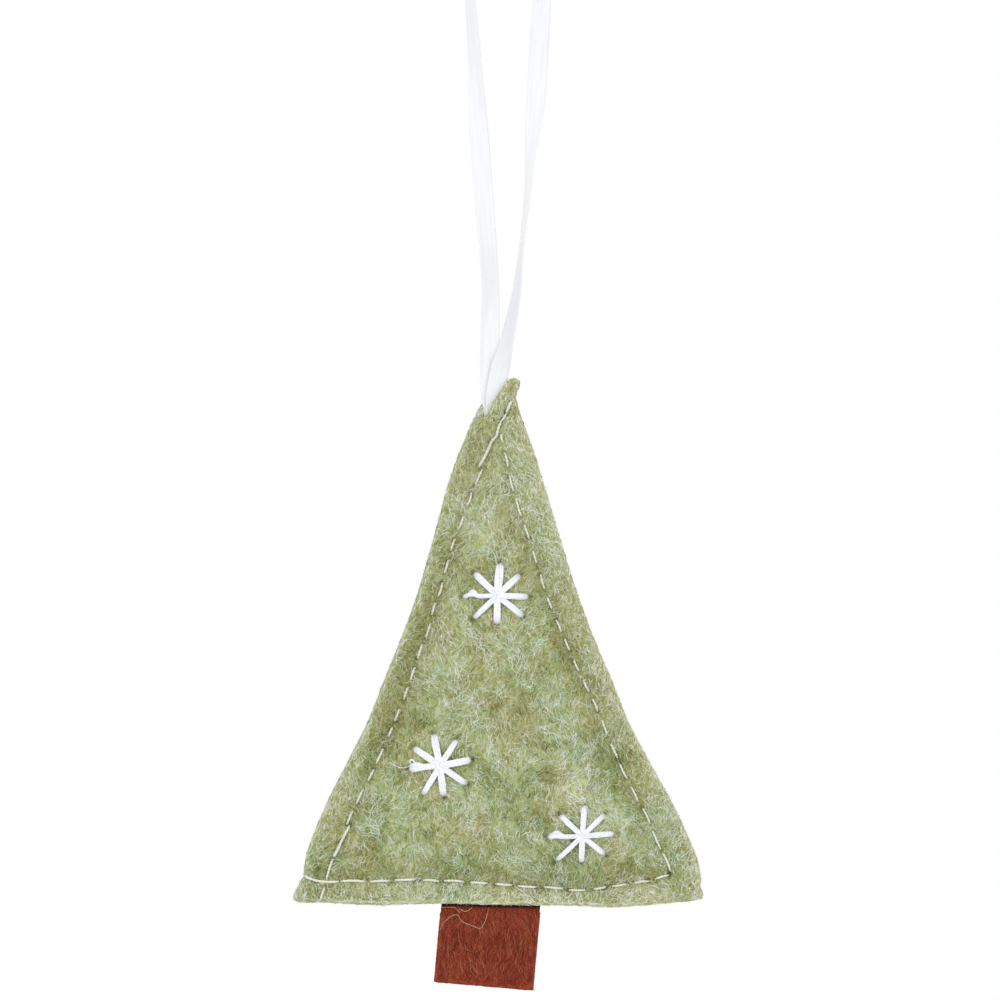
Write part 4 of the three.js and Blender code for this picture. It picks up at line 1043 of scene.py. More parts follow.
class Panel:
    """One felt panel. side is -1 for the front and 1 for the back, and left_tip its edge beside the ribbon;
    its needle holes are more or less open, most of all along the base and at the floss."""

    def __init__(self, side, left_tip, holes, seed):
        self.side = side
        self.left = np.array(left_tip + LEFT_EDGE)
        self.right = np.array(RIGHT_TIP + RIGHT_EDGE)
        self.holes = holes
        self.open = np.random.default_rng(seed).uniform(*HOLE_SHARES, len(holes)) ** HOLE_POWER
        sides = len(LEFT_RUN.reshape(-1, 2)) + len(RIGHT_RUN.reshape(-1, 2))
        self.open[sides:] = HOLE_BASE + (1 - HOLE_BASE) * self.open[sides:]
        left = 1 - ease(holes[:, 0], *HOLE_CLOSED_X)
        closed = HOLE_CLOSED * left * ease(holes[:, 1], *HOLE_CLOSED_DEPTHS)
        self.open *= 1 - closed
        self.seed = seed

    def edges(self, depth):
        """x of the left and right cut edges at a depth."""
        return smooth_through(*self.left.T, depth), smooth_through(*self.right.T, depth)

    def inset(self, x, depth):
        """About how far a place lies inside the cut edge."""
        left, right = self.edges(depth)
        return np.minimum(np.minimum(x - left, right - x) * SIDE_COSINE, base_edge(x) - depth)

    def hollow_and_shade(self, x, depth):
        """From 0 to 1, how near a place is to a needle hole: it sets the felt's dip there and its painted
        shade.
        """
        total = np.zeros(np.broadcast(x, depth).shape)
        for (hole_x, hole_depth), share in zip(self.holes, self.open):
            total += share * np.exp(-((x - hole_x) ** 2 + (depth - hole_depth) ** 2) / HOLE_REACH**2)
        return np.minimum(total, 1)

    def painted_shade(self, x, depth):
        """From 0 to 1, how much painted shade darkens the felt: along both side seams below the tip, above
        the base seam, and on the front round each snowflake's centre."""
        left = bell((x - left_seam(depth)) * SIDE_COSINE + PAINTED_SHADE_OUT, PAINTED_SHADE_REACH)
        drift = PAINTED_SHADE_DRIFT * ease(depth, *PAINTED_SHADE_DRIFT_DEPTHS)
        right = bell((right_seam(depth) - x) * SIDE_COSINE - PAINTED_SHADE_IN + drift, PAINTED_SHADE_REACH)
        sides = []
        for shade_band, share, (gap, middle, reach) in zip((left, right), PAINTED_SHADE_SHARES, PAINTED_SHADE_GAPS):
            sides.append(share * shade_band * (1 - gap * bell(depth - middle, reach)))
        less, *low = PAINTED_SHADE_LESS
        total = np.maximum(*sides) * ease(depth, *PAINTED_SHADE_FROM) * (1 - less * ease(depth, *low))
        share, height, reach = PAINTED_SHADE_BASE
        over = base_seam(x) - depth
        total = np.maximum(total, share * bell(over - height, reach) * (over > 0))
        if self.side < 0:
            for centre_x, centre_depth in FLOSS_CENTRES:
                away = np.hypot(x - centre_x, depth - centre_depth)
                total = np.maximum(total, bell(away, PAINTED_SHADE_FLOSS))
        return total

    def wave(self, x, depth):
        """A slow wave of the loose edge outside the seams, shared by both panels."""
        start, reach = LOOSE_EDGE
        top, low = LOOSE_DEPTHS
        outside = ease(start - self.inset(x, depth), 0, reach) * ease(depth, *top) * (1 - ease(depth, *low))
        return EDGE_WAVE[0] * outside * ripple(x, depth, EDGE_WAVE[1], EDGE_WAVE_SEED)

    def inner(self, x, depth):
        """Height of the inner face over the middle plane."""
        return parting(x, depth) + crown(x, depth)

    def outer(self, x, depth):
        """Height of the outer face: the inner face, the felt, thinner along the seams, and its lumps and
        puckers, less a dip at each needle hole and the rounding of the cut edge."""
        beside = seam_distance(x, depth)
        felt = FELT - (FELT - PRESSED_FELT) * bell(beside, CHANNEL)
        felt = felt * (TIP_FELT + (1 - TIP_FELT) * ease(depth, *TIP_FELT_DEPTHS))
        loose = 1 - LUMPS_PRESSED * bell(beside, 1.5 * CHANNEL)
        lumps = ripples(x, depth, LUMPS, (self.seed, self.seed + 1))
        band, reach = PUCKER_BAND
        pucker = PUCKER[0] * ripple(x, depth, PUCKER[1], self.seed + 2) * bell(beside - band, reach)
        height = self.inner(x, depth) + felt + loose * lumps + pucker
        return height - HOLE_DEPTH * self.hollow_and_shade(x, depth) - rounding(self.inset(x, depth))

    def point(self, x, depth, over=0.0):
        """World point of a place on the outer face, or over it."""
        height = self.side * (self.outer(x, depth) + over) + self.wave(x, depth)
        return place(x, height, depth)


def panel_grid(panel):
    """(x, depth) on a grid of rows down the panel and columns across it, both closer together at the cut
    edge; the columns keep their distance from the side edges, so that the seams lie along them."""
    tip, body, base = TIP_ROWS
    rows = [TIP_TOP + (TIP_ZONE - TIP_TOP) * closer(np.linspace(0, 1, tip, endpoint=False), 0.2)]
    rows.append(np.linspace(TIP_ZONE, TREE_HEIGHT - BASE_ZONE, body, endpoint=False))
    rows.append(TREE_HEIGHT - BASE_ZONE * closer(np.linspace(1, 0, base), 0.25))
    row = np.concatenate(rows)[:, None]
    sunk = ease(row, 0.8 * TREE_HEIGHT, TREE_HEIGHT)
    left, right = panel.edges(row)
    for _ in range(4):
        left = panel.edges(row + (base_edge(left) - TREE_HEIGHT) * sunk)[0]
        right = panel.edges(row + (base_edge(right) - TREE_HEIGHT) * sunk)[1]
    band = np.minimum(SIDE_ZONE, 0.4 * (right - left))
    share = closer(np.linspace(0, 1, SIDE_COLUMNS, endpoint=False), 0.3)
    middle = left + band + (right - left - 2 * band) * np.linspace(0, 1, MIDDLE_COLUMNS)
    x = np.concatenate([left + band * share, middle, right - band * share[::-1]], axis=1)
    return x, row + (base_edge(x) - TREE_HEIGHT) * sunk


def make_panel(name, node, panel, material):
    """A felt panel as a closed sheet: its outer face, its inner face and the cut edge between them."""
    x, depth = panel_grid(panel)
    outer = panel.point(x, depth)
    inner = place(x, panel.side * panel.inner(x, depth) + panel.wave(x, depth), depth)
    points, faces = slab(outer, inner, flip=panel.side < 0)
    # painted shade in the needle holes, along the seams and round the snowflakes
    hollow_and_shade, painted_shade = panel.hollow_and_shade(x, depth), panel.painted_shade(x, depth)
    # painted light along the cut edge
    rim = bell(panel.inset(x, depth), RIM_PAINTED_LIGHT_REACH)
    values = {
        "hollow_and_shade": np.concatenate([hollow_and_shade, 0 * hollow_and_shade]),
        "painted_shade": np.concatenate([painted_shade, 0 * painted_shade]),
        "rim": np.concatenate([rim, rim]),
    }
    made = make_piece(name, points, faces, material, values)
    on_tree(made, node)
    widths = np.subtract(*panel.edges(np.linspace(0, TREE_HEIGHT, 200))[::-1])


# Fibres

def curl(rng, x, depth, heading, length, bend, wriggle, steps):
    """Curved lines centred on (x, depth): each turns evenly about its heading, in all by an angle with the
    spread bend, and wriggles as a sine of up to the angle wriggle."""
    turn = rng.normal(0, bend, len(x))
    swing = rng.uniform(0, wriggle, len(x))
    t = np.linspace(0, 1, steps)
    phase = rng.uniform(0, 2 * np.pi, (len(x), 1))
    wave = np.sin(2 * np.pi * t * length[:, None] / WRIGGLE_LENGTH + phase)
    angle = heading[:, None] + turn[:, None] * (t - 0.5) + swing[:, None] * wave
    step = (length / (steps - 1))[:, None]
    across, down = np.cumsum(np.cos(angle) * step, 1), np.cumsum(np.sin(angle) * step, 1)
    x = x[:, None] + across - across.mean(1, keepdims=True)
    return x, depth[:, None] + down - down.mean(1, keepdims=True)


def risen(rng, count, heights, sunk, steps):
    """Heights over the felt along fibres: half a sine wave, its height drawn evenly from heights, less sunk."""
    return rng.uniform(*heights, (count, 1)) * arch_of(steps) - sunk


def slimmed(rng, count, radii, steps):
    """Radii along fibres: drawn evenly from radii, and swelling as half a sine wave from FIBRE_END of that."""
    return rng.uniform(*radii, (count, 1)) * (FIBRE_END + (1 - FIBRE_END) * arch_of(steps))


def by_side(side, left, right, base):
    """What belongs to each side number: 0 is the left edge, 1 the right and 2 the base."""
    return np.select([side == 0, side == 1], [left, right], base)


def at_edge(panel, side, x, depth, inward=0.0):
    """Places inside a panel's cut edge, at the given depth on its sides and the given x on its base."""
    left, right = panel.edges(depth)
    x = by_side(side, left + inward, right - inward, x)
    return x, np.where(side == 2, base_edge(x) - inward, depth)


def felt_shades(rng, panel, x, depth, tints, cloudy):
    """Tint and coolness of fibres by their middles. A tint is drawn evenly from tints. Slow ripples shift
    both, so that shades gather in clouds, fainter towards the cut edge, and so do seams, edges and depth: the
    seams and snowflakes darken the fibres with painted shade, and the cut edge lightens them with painted
    light."""
    shade_seed, cool_seed = CLOUD_SEEDS[panel.side]
    inset = panel.inset(x, depth)
    rim = bell(inset, RIM_REACH)
    flange = ease(depth - base_seam(x), 0.0, FLANGE_REACH)
    cloudy = cloudy * (CLOUDS_AT_EDGE + (1 - CLOUDS_AT_EDGE) * ease(inset, *CLOUDS_INSET))
    cloud = ripples(x, depth, SHADE_CLOUDS, (shade_seed, panel.seed + 8))
    tint = rng.uniform(*tints, len(x)) + cloudy * cloud
    # painted shade darkens the fibres along the seams and round the snowflakes
    tint = tint - PAINTED_SHADE_DARKER * panel.painted_shade(x, depth) + FLANGE_LIGHTER * flange
    tint = tint - TIP_DARKER * (1 - ease(depth, *TIP_DARK_DEPTHS))
    # painted light makes the fibres paler at the cut edge
    tint = tint - LEFT_DARKER * (x < 0) * (1 - ease(inset, *LEFT_INSET)) + RIM_PAINTED_LIGHTER * rim
    tint = tint + TOP_LIGHTER * (1 - ease(depth, *TOP_DEPTHS)) * ease(inset, *TOP_INSET)
    cloud = ripples(x, depth, COOL_CLOUDS, (cool_seed, panel.seed + 6))
    cloud = cloud + LOW_COOLER * ease(depth, *LOW_DEPTHS)
    cloud = cloud - FLANGE_WARMER * flange - TIP_WARMER * (1 - ease(depth, *TIP_WARM_DEPTHS))
    cool = rng.uniform(*COOLNESS, len(x)) + cloudy * cloud - RIM_WARMER * rim * (x > 0)
    return np.clip(tint, 0, 1), np.clip(cool, 0, 1)


def felt_fibres(name, panel, material, seed, count, lengths, radii, tints, steps, within, cloudy):
    """Matted fibres over a panel's outer face, or over the part of it within a distance of the cut edge:
    curled lines, clear of the open needle holes, that rise a little between their sunk ends."""
    rng = np.random.default_rng(seed)
    tries = count * (3 if within == FAR else 10)
    x = rng.uniform(-TREE_WIDTH / 2, TREE_WIDTH / 2, tries)
    depth = rng.uniform(0, TREE_HEIGHT + 1, tries)
    heading = np.pi / 2 + ripples(x, depth, (FELT_SWAY,), (panel.seed + 9,))
    heading = heading + rng.normal(0, FELT_SPREAD, tries)
    length = rng.uniform(*lengths, tries)
    x, depth = curl(rng, x, depth, heading, length, *FELT_CURL, steps)
    inset = panel.inset(x, depth)
    inside = (inset > -EDGE_STRAY).all(1) & (inset.mean(1) < within)
    kept = np.flatnonzero(inside)[:int(1.3 * count)]
    clear = panel.hollow_and_shade(x[kept], depth[kept]).max(1) < rng.uniform(0.1, 1.1, len(kept))
    kept = kept[clear][:count]
    x, depth = x[kept], depth[kept]
    paths = panel.point(x, depth, risen(rng, len(kept), *FELT_RISE, steps))
    thick = slimmed(rng, len(kept), radii, steps)
    tint, cool = felt_shades(rng, panel, x.mean(1), depth.mean(1), tints, cloudy)
    made = strand_piece(name, paths, thick, (0, panel.side, 0), material, tint, cool=cool)
    on_tree(made)


def fibres_by_ribbon(name, back, front, material, seed):
    """Short fibres on the back's inner face, where it shows left of the ribbon above the front's cut edge."""
    rng = np.random.default_rng(seed)
    tries = 8 * RIBBON_FIBRES
    x, depth = rng.uniform(-5.5, 0.5, tries), rng.uniform(3.6, 8.2, tries)
    heading, length = rng.normal(np.pi / 2, 0.7, tries), rng.uniform(0.7, 1.8, tries)
    x, depth = curl(rng, x, depth, heading, length, *FELT_CURL, FUZZ_STEPS)
    inside = (back.inset(x, depth) > -EDGE_STRAY).all(1) & (x - front.edges(depth)[0] < 0.5).all(1)
    kept = np.flatnonzero(inside)[:RIBBON_FIBRES]
    x, depth = x[kept], depth[kept]
    over = risen(rng, len(kept), *RIBBON_RISE, FUZZ_STEPS)
    paths = place(x, back.inner(x, depth) - over + back.wave(x, depth), depth)
    thick = slimmed(rng, len(kept), MATTED_RADII, FUZZ_STEPS)
    # painted light: these fibres are drawn paler to lift the shade where the back shows behind the front's cut
    # edge
    tint, cool = rng.uniform(0.5, 1.1, len(kept)), rng.uniform(0, 0.7, len(kept))
    made = strand_piece(name, paths, thick, (0, -1, 0), material, tint, cool=cool)
    on_tree(made)


def rim_fibres(name, panel, material, seed):
    """Short fibres that lie along a panel's cut edge, on the rounding of its outer face."""
    rng = np.random.default_rng(seed)
    tries = 2 * RIM_FIBRES
    depth = TREE_HEIGHT * rng.uniform(0, 0.99, tries)
    x = rng.uniform(-EDGE_ACROSS, EDGE_ACROSS, tries) * TREE_WIDTH / 2
    depth = np.where(rng.random(tries) < TIP_SHARE, rng.uniform(TIP_TOP, TIP_ZONE, tries), depth)
    side = rng.choice(3, tries, p=EDGE_SHARES)
    x, depth = at_edge(panel, side, x, depth, rng.uniform(-0.1, 0.55, tries))
    slant = math.acos(SIDE_COSINE)
    heading = by_side(side, np.pi / 2 + slant, np.pi / 2 - slant, 0.0) + rng.normal(0, 0.35, tries)
    length = rng.uniform(0.7, 2.0, tries)
    x, depth = curl(rng, x, depth, heading, length, *RIM_CURL, FUZZ_STEPS)
    inside = ((panel.inset(x, depth) > -0.12) & (depth > TIP_TOP)).all(1)
    kept = np.flatnonzero(inside)[:RIM_FIBRES]
    x, depth = x[kept], depth[kept]
    paths = panel.point(x, depth, risen(rng, len(kept), *RIM_RISE, FUZZ_STEPS))
    thick = slimmed(rng, len(kept), MATTED_RADII, FUZZ_STEPS)
    tint = rng.uniform(0.2, 1.0, len(kept))
    cool = np.clip(rng.uniform(-0.2, 1.0, len(kept)) - 0.4 * (side[kept] == 1), 0, 1)
    made = strand_piece(name, paths, thick, (0, panel.side, 0), material, tint, cool=cool)
    on_tree(made)


def edge_lines(rng, count, edges, bottom, depths, across, shares, thickness):
    """Short lines matted over a felt piece's cut edge: each runs along the edge and slants through the felt.
    edges gives the left and right x at a depth and bottom the depth at an x, and shares of the lines lie on
    these three. Returns x, depth and the share of the way through the felt."""
    share = np.linspace(-0.5, 0.5, FUZZ_STEPS)
    side = rng.choice(3, (count, 1), p=shares)
    length = rng.uniform(0.5, 1.8, (count, 1))
    slant = np.clip(rng.normal(0, 0.55, (count, 1)), -1.1, 1.1)
    along = length * np.cos(slant) * share
    out = rng.uniform(0.03, 0.11, (count, 1)) * np.cos(np.pi * share) - 0.02
    depth = np.clip(rng.choice(depths, (count, 1)) + SIDE_COSINE * along, depths.min(), depths.max())
    left, right = edges(depth)
    x = by_side(side, left - out, right + out, rng.uniform(*across, (count, 1)) + along)
    depth = np.where(side == 2, bottom(x) + out, depth)
    through = rng.uniform(0.05, 0.98, (count, 1)) + length * np.sin(slant) * share / thickness
    return x, depth, np.clip(through, 0.03, 1.0)


def matted_edge(name, paths, rng, up, material):
    """The strands of a cut edge, slimmer at both ends and of any shade."""
    count = len(paths)
    thick = slimmed(rng, count, MATTED_RADII, FUZZ_STEPS)
    tint = np.clip(rng.uniform(0.1, 1.05, count), 0, 1)
    cool = np.clip(rng.uniform(-0.25, 1.0, count), 0, 1)
    return strand_piece(name, paths, thick, up, material, tint, cool=cool)


def cut_fibres(name, panel, material, seed):
    """Fibres matted over a panel's cut edge, more closely round its nub."""
    rng = np.random.default_rng(seed)
    depths = np.concatenate([np.linspace(TIP_TOP, 0.985 * TREE_HEIGHT, 900), np.linspace(TIP_TOP, 2.0, 50)])
    across = (-0.485 * TREE_WIDTH, 0.485 * TREE_WIDTH)
    x, depth, through = edge_lines(rng, CUT_FIBRES, panel.edges, base_edge, depths, across, EDGE_SHARES, FELT)
    inner, outer = panel.inner(x, depth), panel.outer(x, depth)
    height = inner + (outer - inner) * through
    paths = place(x, panel.side * height + panel.wave(x, depth), depth)
    on_tree(matted_edge(name, paths, rng, (0, panel.side, 0), material))


def edge_fuzz(name, panel, material, seed):
    """Short fibres that stand out of a panel's cut edge, through its thickness."""
    rng = np.random.default_rng(seed)
    count = FUZZ_FIBRES
    depth = TREE_HEIGHT * rng.uniform(0.01, 0.99, count)
    x = rng.uniform(-EDGE_ACROSS, EDGE_ACROSS, count) * TREE_WIDTH / 2
    side = rng.choice(3, count, p=EDGE_SHARES)
    x, depth = at_edge(panel, side, x, depth)
    length = rng.uniform(0.25, 0.9, count)
    heading = by_side(side, np.pi - 0.35, -0.35, np.pi / 2) + rng.normal(0, 0.7, count)
    x, depth = curl(rng, x, depth, heading, length, *FUZZ_CURL, FUZZ_STEPS)
    height = panel.inner(x, depth) + FELT * rng.uniform(0.15, 0.75, (count, 1))
    lean = rng.normal(0, 0.25, (count, 1)) * np.linspace(-1, 1, FUZZ_STEPS)
    paths = place(x, panel.side * height + lean + panel.wave(x, depth), depth)
    thick = rng.uniform(0.025, 0.045, (count, 1)) * np.linspace(1, 0.5, FUZZ_STEPS)
    tint, cool = rng.uniform(0.2, 1, count), rng.uniform(0, 1, count)
    made = strand_piece(name, paths, thick, (0, panel.side, 0), material, tint, cool=cool)
    on_tree(made)


# Seam stitches

def stitches(name, node, panel, ends, girths, material, dull, seed, longer):
    """Stitches of two-ply thread between needle holes: each ply winds about the line from hole to hole, which
    lies on the felt and dives into it at both ends as the tenth power of the share from its middle."""
    girth = np.asarray(girths, float)[:, None]
    rng = np.random.default_rng(seed)
    t = np.linspace(-1, 1, STITCH_STEPS)[None, :]
    span = ends[:, 1] - ends[:, 0]
    aside = unit(np.stack([-span[:, 1], span[:, 0]], axis=1))
    middle = ends.mean(1) + aside * rng.normal(0, STITCH_STRAY, (len(ends), 1))
    half = span / 2 + longer * unit(span)
    bow = rng.normal(0, STITCH_BOW, (len(ends), 1)) * (1 - t * t)
    x = middle[:, :1] + half[:, :1] * t + aside[:, :1] * bow
    depth = middle[:, 1:] + half[:, 1:] * t + aside[:, 1:] * bow
    over = THREAD_LIFT - THREAD_SINK * t**10
    length = np.linalg.norm(span, axis=1, keepdims=True)
    wind = np.pi * length * t / PLY_PITCH + rng.uniform(0, 2 * np.pi, (len(ends), 1))
    slim = np.tile(THREAD_PLY * girth * (1 - 0.45 * t**4), (2, 1))
    plies = []
    for ply in (0, np.pi):
        out, up = PLY_OFFSET * girth * np.cos(wind + ply), PLY_OFFSET * girth * np.sin(wind + ply)
        plies.append(panel.point(x + aside[:, :1] * out, depth + aside[:, 1:] * out, over + up))
    paths = np.concatenate(plies)
    tint = np.tile(dull + THREAD_SHADES * rng.uniform(0, 1, len(ends)), 2)
    made = strand_piece(name, paths, slim, (0, panel.side, 0), material, tint, STITCH_SIDES)
    on_tree(made, node)


# Snowflakes

def make_snowflake(node, panel, material, seed):
    """Eight straight stitches of stranded floss from one centre: in each, strands lie round a flat oval that
    turns slowly along the ray, swells at its middle and sinks into the felt at its tip; the flared ray's
    strands spread apart."""
    rng = np.random.default_rng(seed)
    centre, ear, tips = SNOWFLAKES[node]
    tips = np.array(tips)[:, None, None]
    girth, tips = tips[..., 2], tips[..., :2]
    rays = len(tips)
    t = np.linspace(0, 1, FLOSS_STEPS)
    strand = 2 * np.pi * np.arange(FLOSS_STRANDS)[:, None] / FLOSS_STRANDS
    turn = strand + rng.uniform(0, 6, (rays, 1, 1)) + rng.normal(0, 0.5, (rays, 1, 1)) + 1.3 * t
    flared = (np.arange(rays) == FLARED_RAY)[:, None, None]
    swell = 0.95 + 0.1 * np.sin(np.pi * t) - 0.04 * t**10
    swell = np.where(flared, 0.75 + 0.35 * t**2, swell) * girth
    length = np.linalg.norm(tips, axis=-1)
    aside = np.stack([-tips[..., 1], tips[..., 0]], axis=-1) / length[..., None]
    stray = np.linspace(0, 1, FLOSS_STRANDS)[:, None]
    out = FLOSS_WIDE * swell * np.cos(turn) + flared * ear * stray * bell(t - 0.8, 0.15)
    reach = t * np.where(flared, 0.97 + 0.05 * np.sin(turn), 1.035 - 0.03 * np.cos(turn) ** 2)
    x = centre[0] + tips[..., 0] * reach + aside[..., 0] * out
    depth = centre[1] + tips[..., 1] * reach + aside[..., 1] * out
    stacked = 0.06 * ((np.arange(rays) * 3) % rays)[:, None, None] * (1 - t) ** 3
    sunk = np.where(flared, 0.25, 0.6) * t**10 + 0.3 * (1 - t) ** 4
    over = FLOSS_HIGH * (1.5 + np.sin(turn)) + stacked - sunk + 0.15 * np.sin(np.pi * t)
    points = panel.point(x, depth, over).reshape(-1, FLOSS_STEPS, 3)
    thick = np.where(flared, 0.95 + 0.5 * bell(t - 0.82, 0.18), 1 - 0.22 * t**10 + 0 * turn)
    thick = FLOSS_RADIUS * thick.reshape(-1, FLOSS_STEPS) * rng.uniform(0.92, 1.08, (len(points), 1))
    thick = thick * np.repeat(0.5 + 0.5 * girth[:, 0, 0], FLOSS_STRANDS)[:, None]
    # painted shade: darker at the rays' tips, where the floss dives into the felt, and at the centre where they
    # cross; the rest is random tone
    tint = 0.25 * rng.uniform(0, 1, (len(points), 1)) + 1.1 * t**9 + 0.3 * (1 - t) ** 4
    name = node.replace("snowflake", "floss_star")
    on_tree(strand_piece(name, points, thick, (0, -1, 0), material, tint, FLOSS_SIDES), node)


def floss_end(panel, material):
    """The left snowflake's loose floss end: a small loop at its flared ray, then a fine tail on the felt."""
    t = np.linspace(0, 1, LOOSE_STEPS)
    line = smooth_through(np.linspace(0, 1, len(FLOSS_TAIL)), np.array(FLOSS_TAIL), t)
    paths = panel.point(line[:, 0], line[:, 1], 0.42 - 0.2 * t)[None]
    thick = (0.16 - 0.1 * ease(t, 0.45, 0.75))[None]
    tint = np.array([FLOSS_TAIL_TINT])
    on_tree(strand_piece("floss_end", paths, thick, (0, -1, 0), material, tint, LOOSE_SIDES))


# Trunk

def trunk_edges(depth):
    """x of the trunk's left and right edges at a depth: they lean left below the fold."""
    shift = -TRUNK_LEAN * np.maximum(depth - TRUNK_FOLD_DEPTHS[0], 0)
    return TRUNK_X - TRUNK_WIDTH / 2 + shift, TRUNK_X + TRUNK_WIDTH / 2 + shift


def trunk_bottom(x):
    """Depth of the trunk's bottom edge at x, a slanted line."""
    share = (x - TRUNK_X) / TRUNK_WIDTH + 0.5
    return TRUNK_LEFT_DEPTH + (TRUNK_RIGHT_DEPTH - TRUNK_LEFT_DEPTH) * share


def trunk_inset(x, depth):
    """About how far a place lies inside the trunk's cut edge."""
    left, right = trunk_edges(depth)
    return np.minimum(np.minimum(x - left, right - x), trunk_bottom(x) - depth)


def trunk_height(x, depth):
    """Height of either face over the middle: less between the panels, fuller below, rounded at the edge."""
    full = ease(depth, *TRUNK_FOLD_DEPTHS)
    half = (TRUNK_ROOT_THICKNESS + (TRUNK_THICKNESS - TRUNK_ROOT_THICKNESS) * full) / 2
    return half - 0.8 * rounding(trunk_inset(x, depth))


def trunk_lumps(x, depth):
    """How far the trunk's middle lies behind the middle plane: slow lumps below the fold."""
    return ripples(x, depth, (TRUNK_LUMPS,), (TRUNK_LUMPS_SEED,)) * ease(depth, *TRUNK_FOLD_DEPTHS)


def fold_with_trunk(piece):
    """Bakes the piece's transform into its mesh."""
    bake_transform(piece)


def make_trunk(felt, fibres, pale):
    """The felt tab, the fibres along its faces and its edge, and the loose pale threads at its top."""
    share = np.linspace(0, 1, TRUNK_ROWS)[:, None]
    row = TRUNK_TOP_DEPTH + (TRUNK_LEFT_DEPTH - TRUNK_TOP_DEPTH) * (1 - (1 - share) ** 1.4)
    even = np.linspace(0, 1, TRUNK_COLUMNS)[None, :]
    across = 0.5 * (0.5 - 0.5 * np.cos(np.pi * even)) + 0.5 * even
    left, right = trunk_edges(row)
    x = left + (right - left) * across
    depth = row + (trunk_bottom(x) - TRUNK_LEFT_DEPTH) * ease(row, TRUNK_FOLD_DEPTHS[1], TRUNK_LEFT_DEPTH)
    height, lumps = trunk_height(x, depth), trunk_lumps(x, depth)
    front, back = place(x, -height + lumps, depth), place(x, height + lumps, depth)
    # painted shadow where the panels' base edge overhangs the trunk's top
    shade_band = 1 - ease(depth - base_edge(x), *TRUNK_PAINTED_SHADOW)
    points, faces = slab(front, back, flip=True)
    tab = make_piece("trunk_felt", points, faces, felt, {"hollow_and_shade": np.tile(shade_band.ravel(), 2)})
    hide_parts("trunk_root", "trunk_tab")
    fold_with_trunk(tab)
    fold_with_trunk(trunk_fibres("trunk_fibres_front", -1, fibres, 71))
    fold_with_trunk(trunk_fibres("trunk_fibres_back", 1, fibres, 72))
    fold_with_trunk(trunk_edge_fibres(fibres, 73))
    fold_with_trunk(loose_threads(pale))


def trunk_edge_fibres(material, seed):
    """Fibres matted over the cut edge of the trunk's free part."""
    rng = np.random.default_rng(seed)
    depths = np.linspace(TRUNK_FOLD_DEPTHS[1] - 1.0, TRUNK_LEFT_DEPTH - 0.2, 200)
    left, right = trunk_edges(TRUNK_LEFT_DEPTH)
    across = (left + 0.4, right - 0.4)
    x, depth, through = edge_lines(
        rng, TRUNK_EDGE_FIBRES, trunk_edges, trunk_bottom, depths, across, TRUNK_EDGE_SHARES, TRUNK_THICKNESS)
    paths = place(x, (2 * through - 1) * trunk_height(x, depth) + trunk_lumps(x, depth), depth)
    return matted_edge("trunk_edge_fibres", paths, rng, (0, -1, 0), material)


def trunk_fibres(name, side, material, seed):
    """Fibres over one face of the trunk, mostly lengthwise, each risen a little between its sunk ends."""
    rng = np.random.default_rng(seed)
    tries = 3 * TRUNK_FIBRES
    x = TRUNK_X + TRUNK_WIDTH * rng.uniform(-0.55, 0.5, tries)
    depth = rng.uniform(TRUNK_FOLD_DEPTHS[0], TRUNK_RIGHT_DEPTH, tries)
    heading = rng.normal(np.pi / 2, 0.45, tries)
    length = 0.5 + 4.5 * rng.uniform(0, 1, tries) ** 2
    x, depth = curl(rng, x, depth, heading, length, *TRUNK_CURL, FIBRE_STEPS)
    inside = (np.minimum(trunk_inset(x, depth), depth - base_edge(x) - 0.4) > -0.03).all(1)
    kept = np.flatnonzero(inside)[:TRUNK_FIBRES]
    x, depth = x[kept], depth[kept]
    over = risen(rng, len(kept), *TRUNK_RISE, FIBRE_STEPS)
    paths = place(x, side * (trunk_height(x, depth) + over) + trunk_lumps(x, depth), depth)
    thick = slimmed(rng, len(kept), (0.03, 0.06), FIBRE_STEPS)
    tint, cool = rng.uniform(0, 1, len(kept)), rng.uniform(0, 1, len(kept))
    return strand_piece(name, paths, thick, (0, side, 0), material, tint, cool=cool)


def loose_threads(material):
    """The loose threads on the trunk's front below the base edge, each a smooth curve through its points."""
    t = np.linspace(0, 1, LOOSE_STEPS)
    lines = [smooth_through(np.linspace(0, 1, len(line)), np.array(line), t) for line in LOOSE_THREADS]
    x, depth = np.stack(lines)[..., 0], np.stack(lines)[..., 1]
    lift = 0.17 + 0.04 * np.sin(9 * t)
    paths = place(x, -(trunk_height(x, depth) + lift), depth)
    thick = np.full(x.shape, LOOSE_RADIUS) * (0.6 + 0.4 * np.sin(np.pi * t))
    tint = np.linspace(0.7, 1, len(lines))
    return strand_piece("loose_threads", paths, thick, (0, -1, 0), material, tint, LOOSE_SIDES)


# Wadding

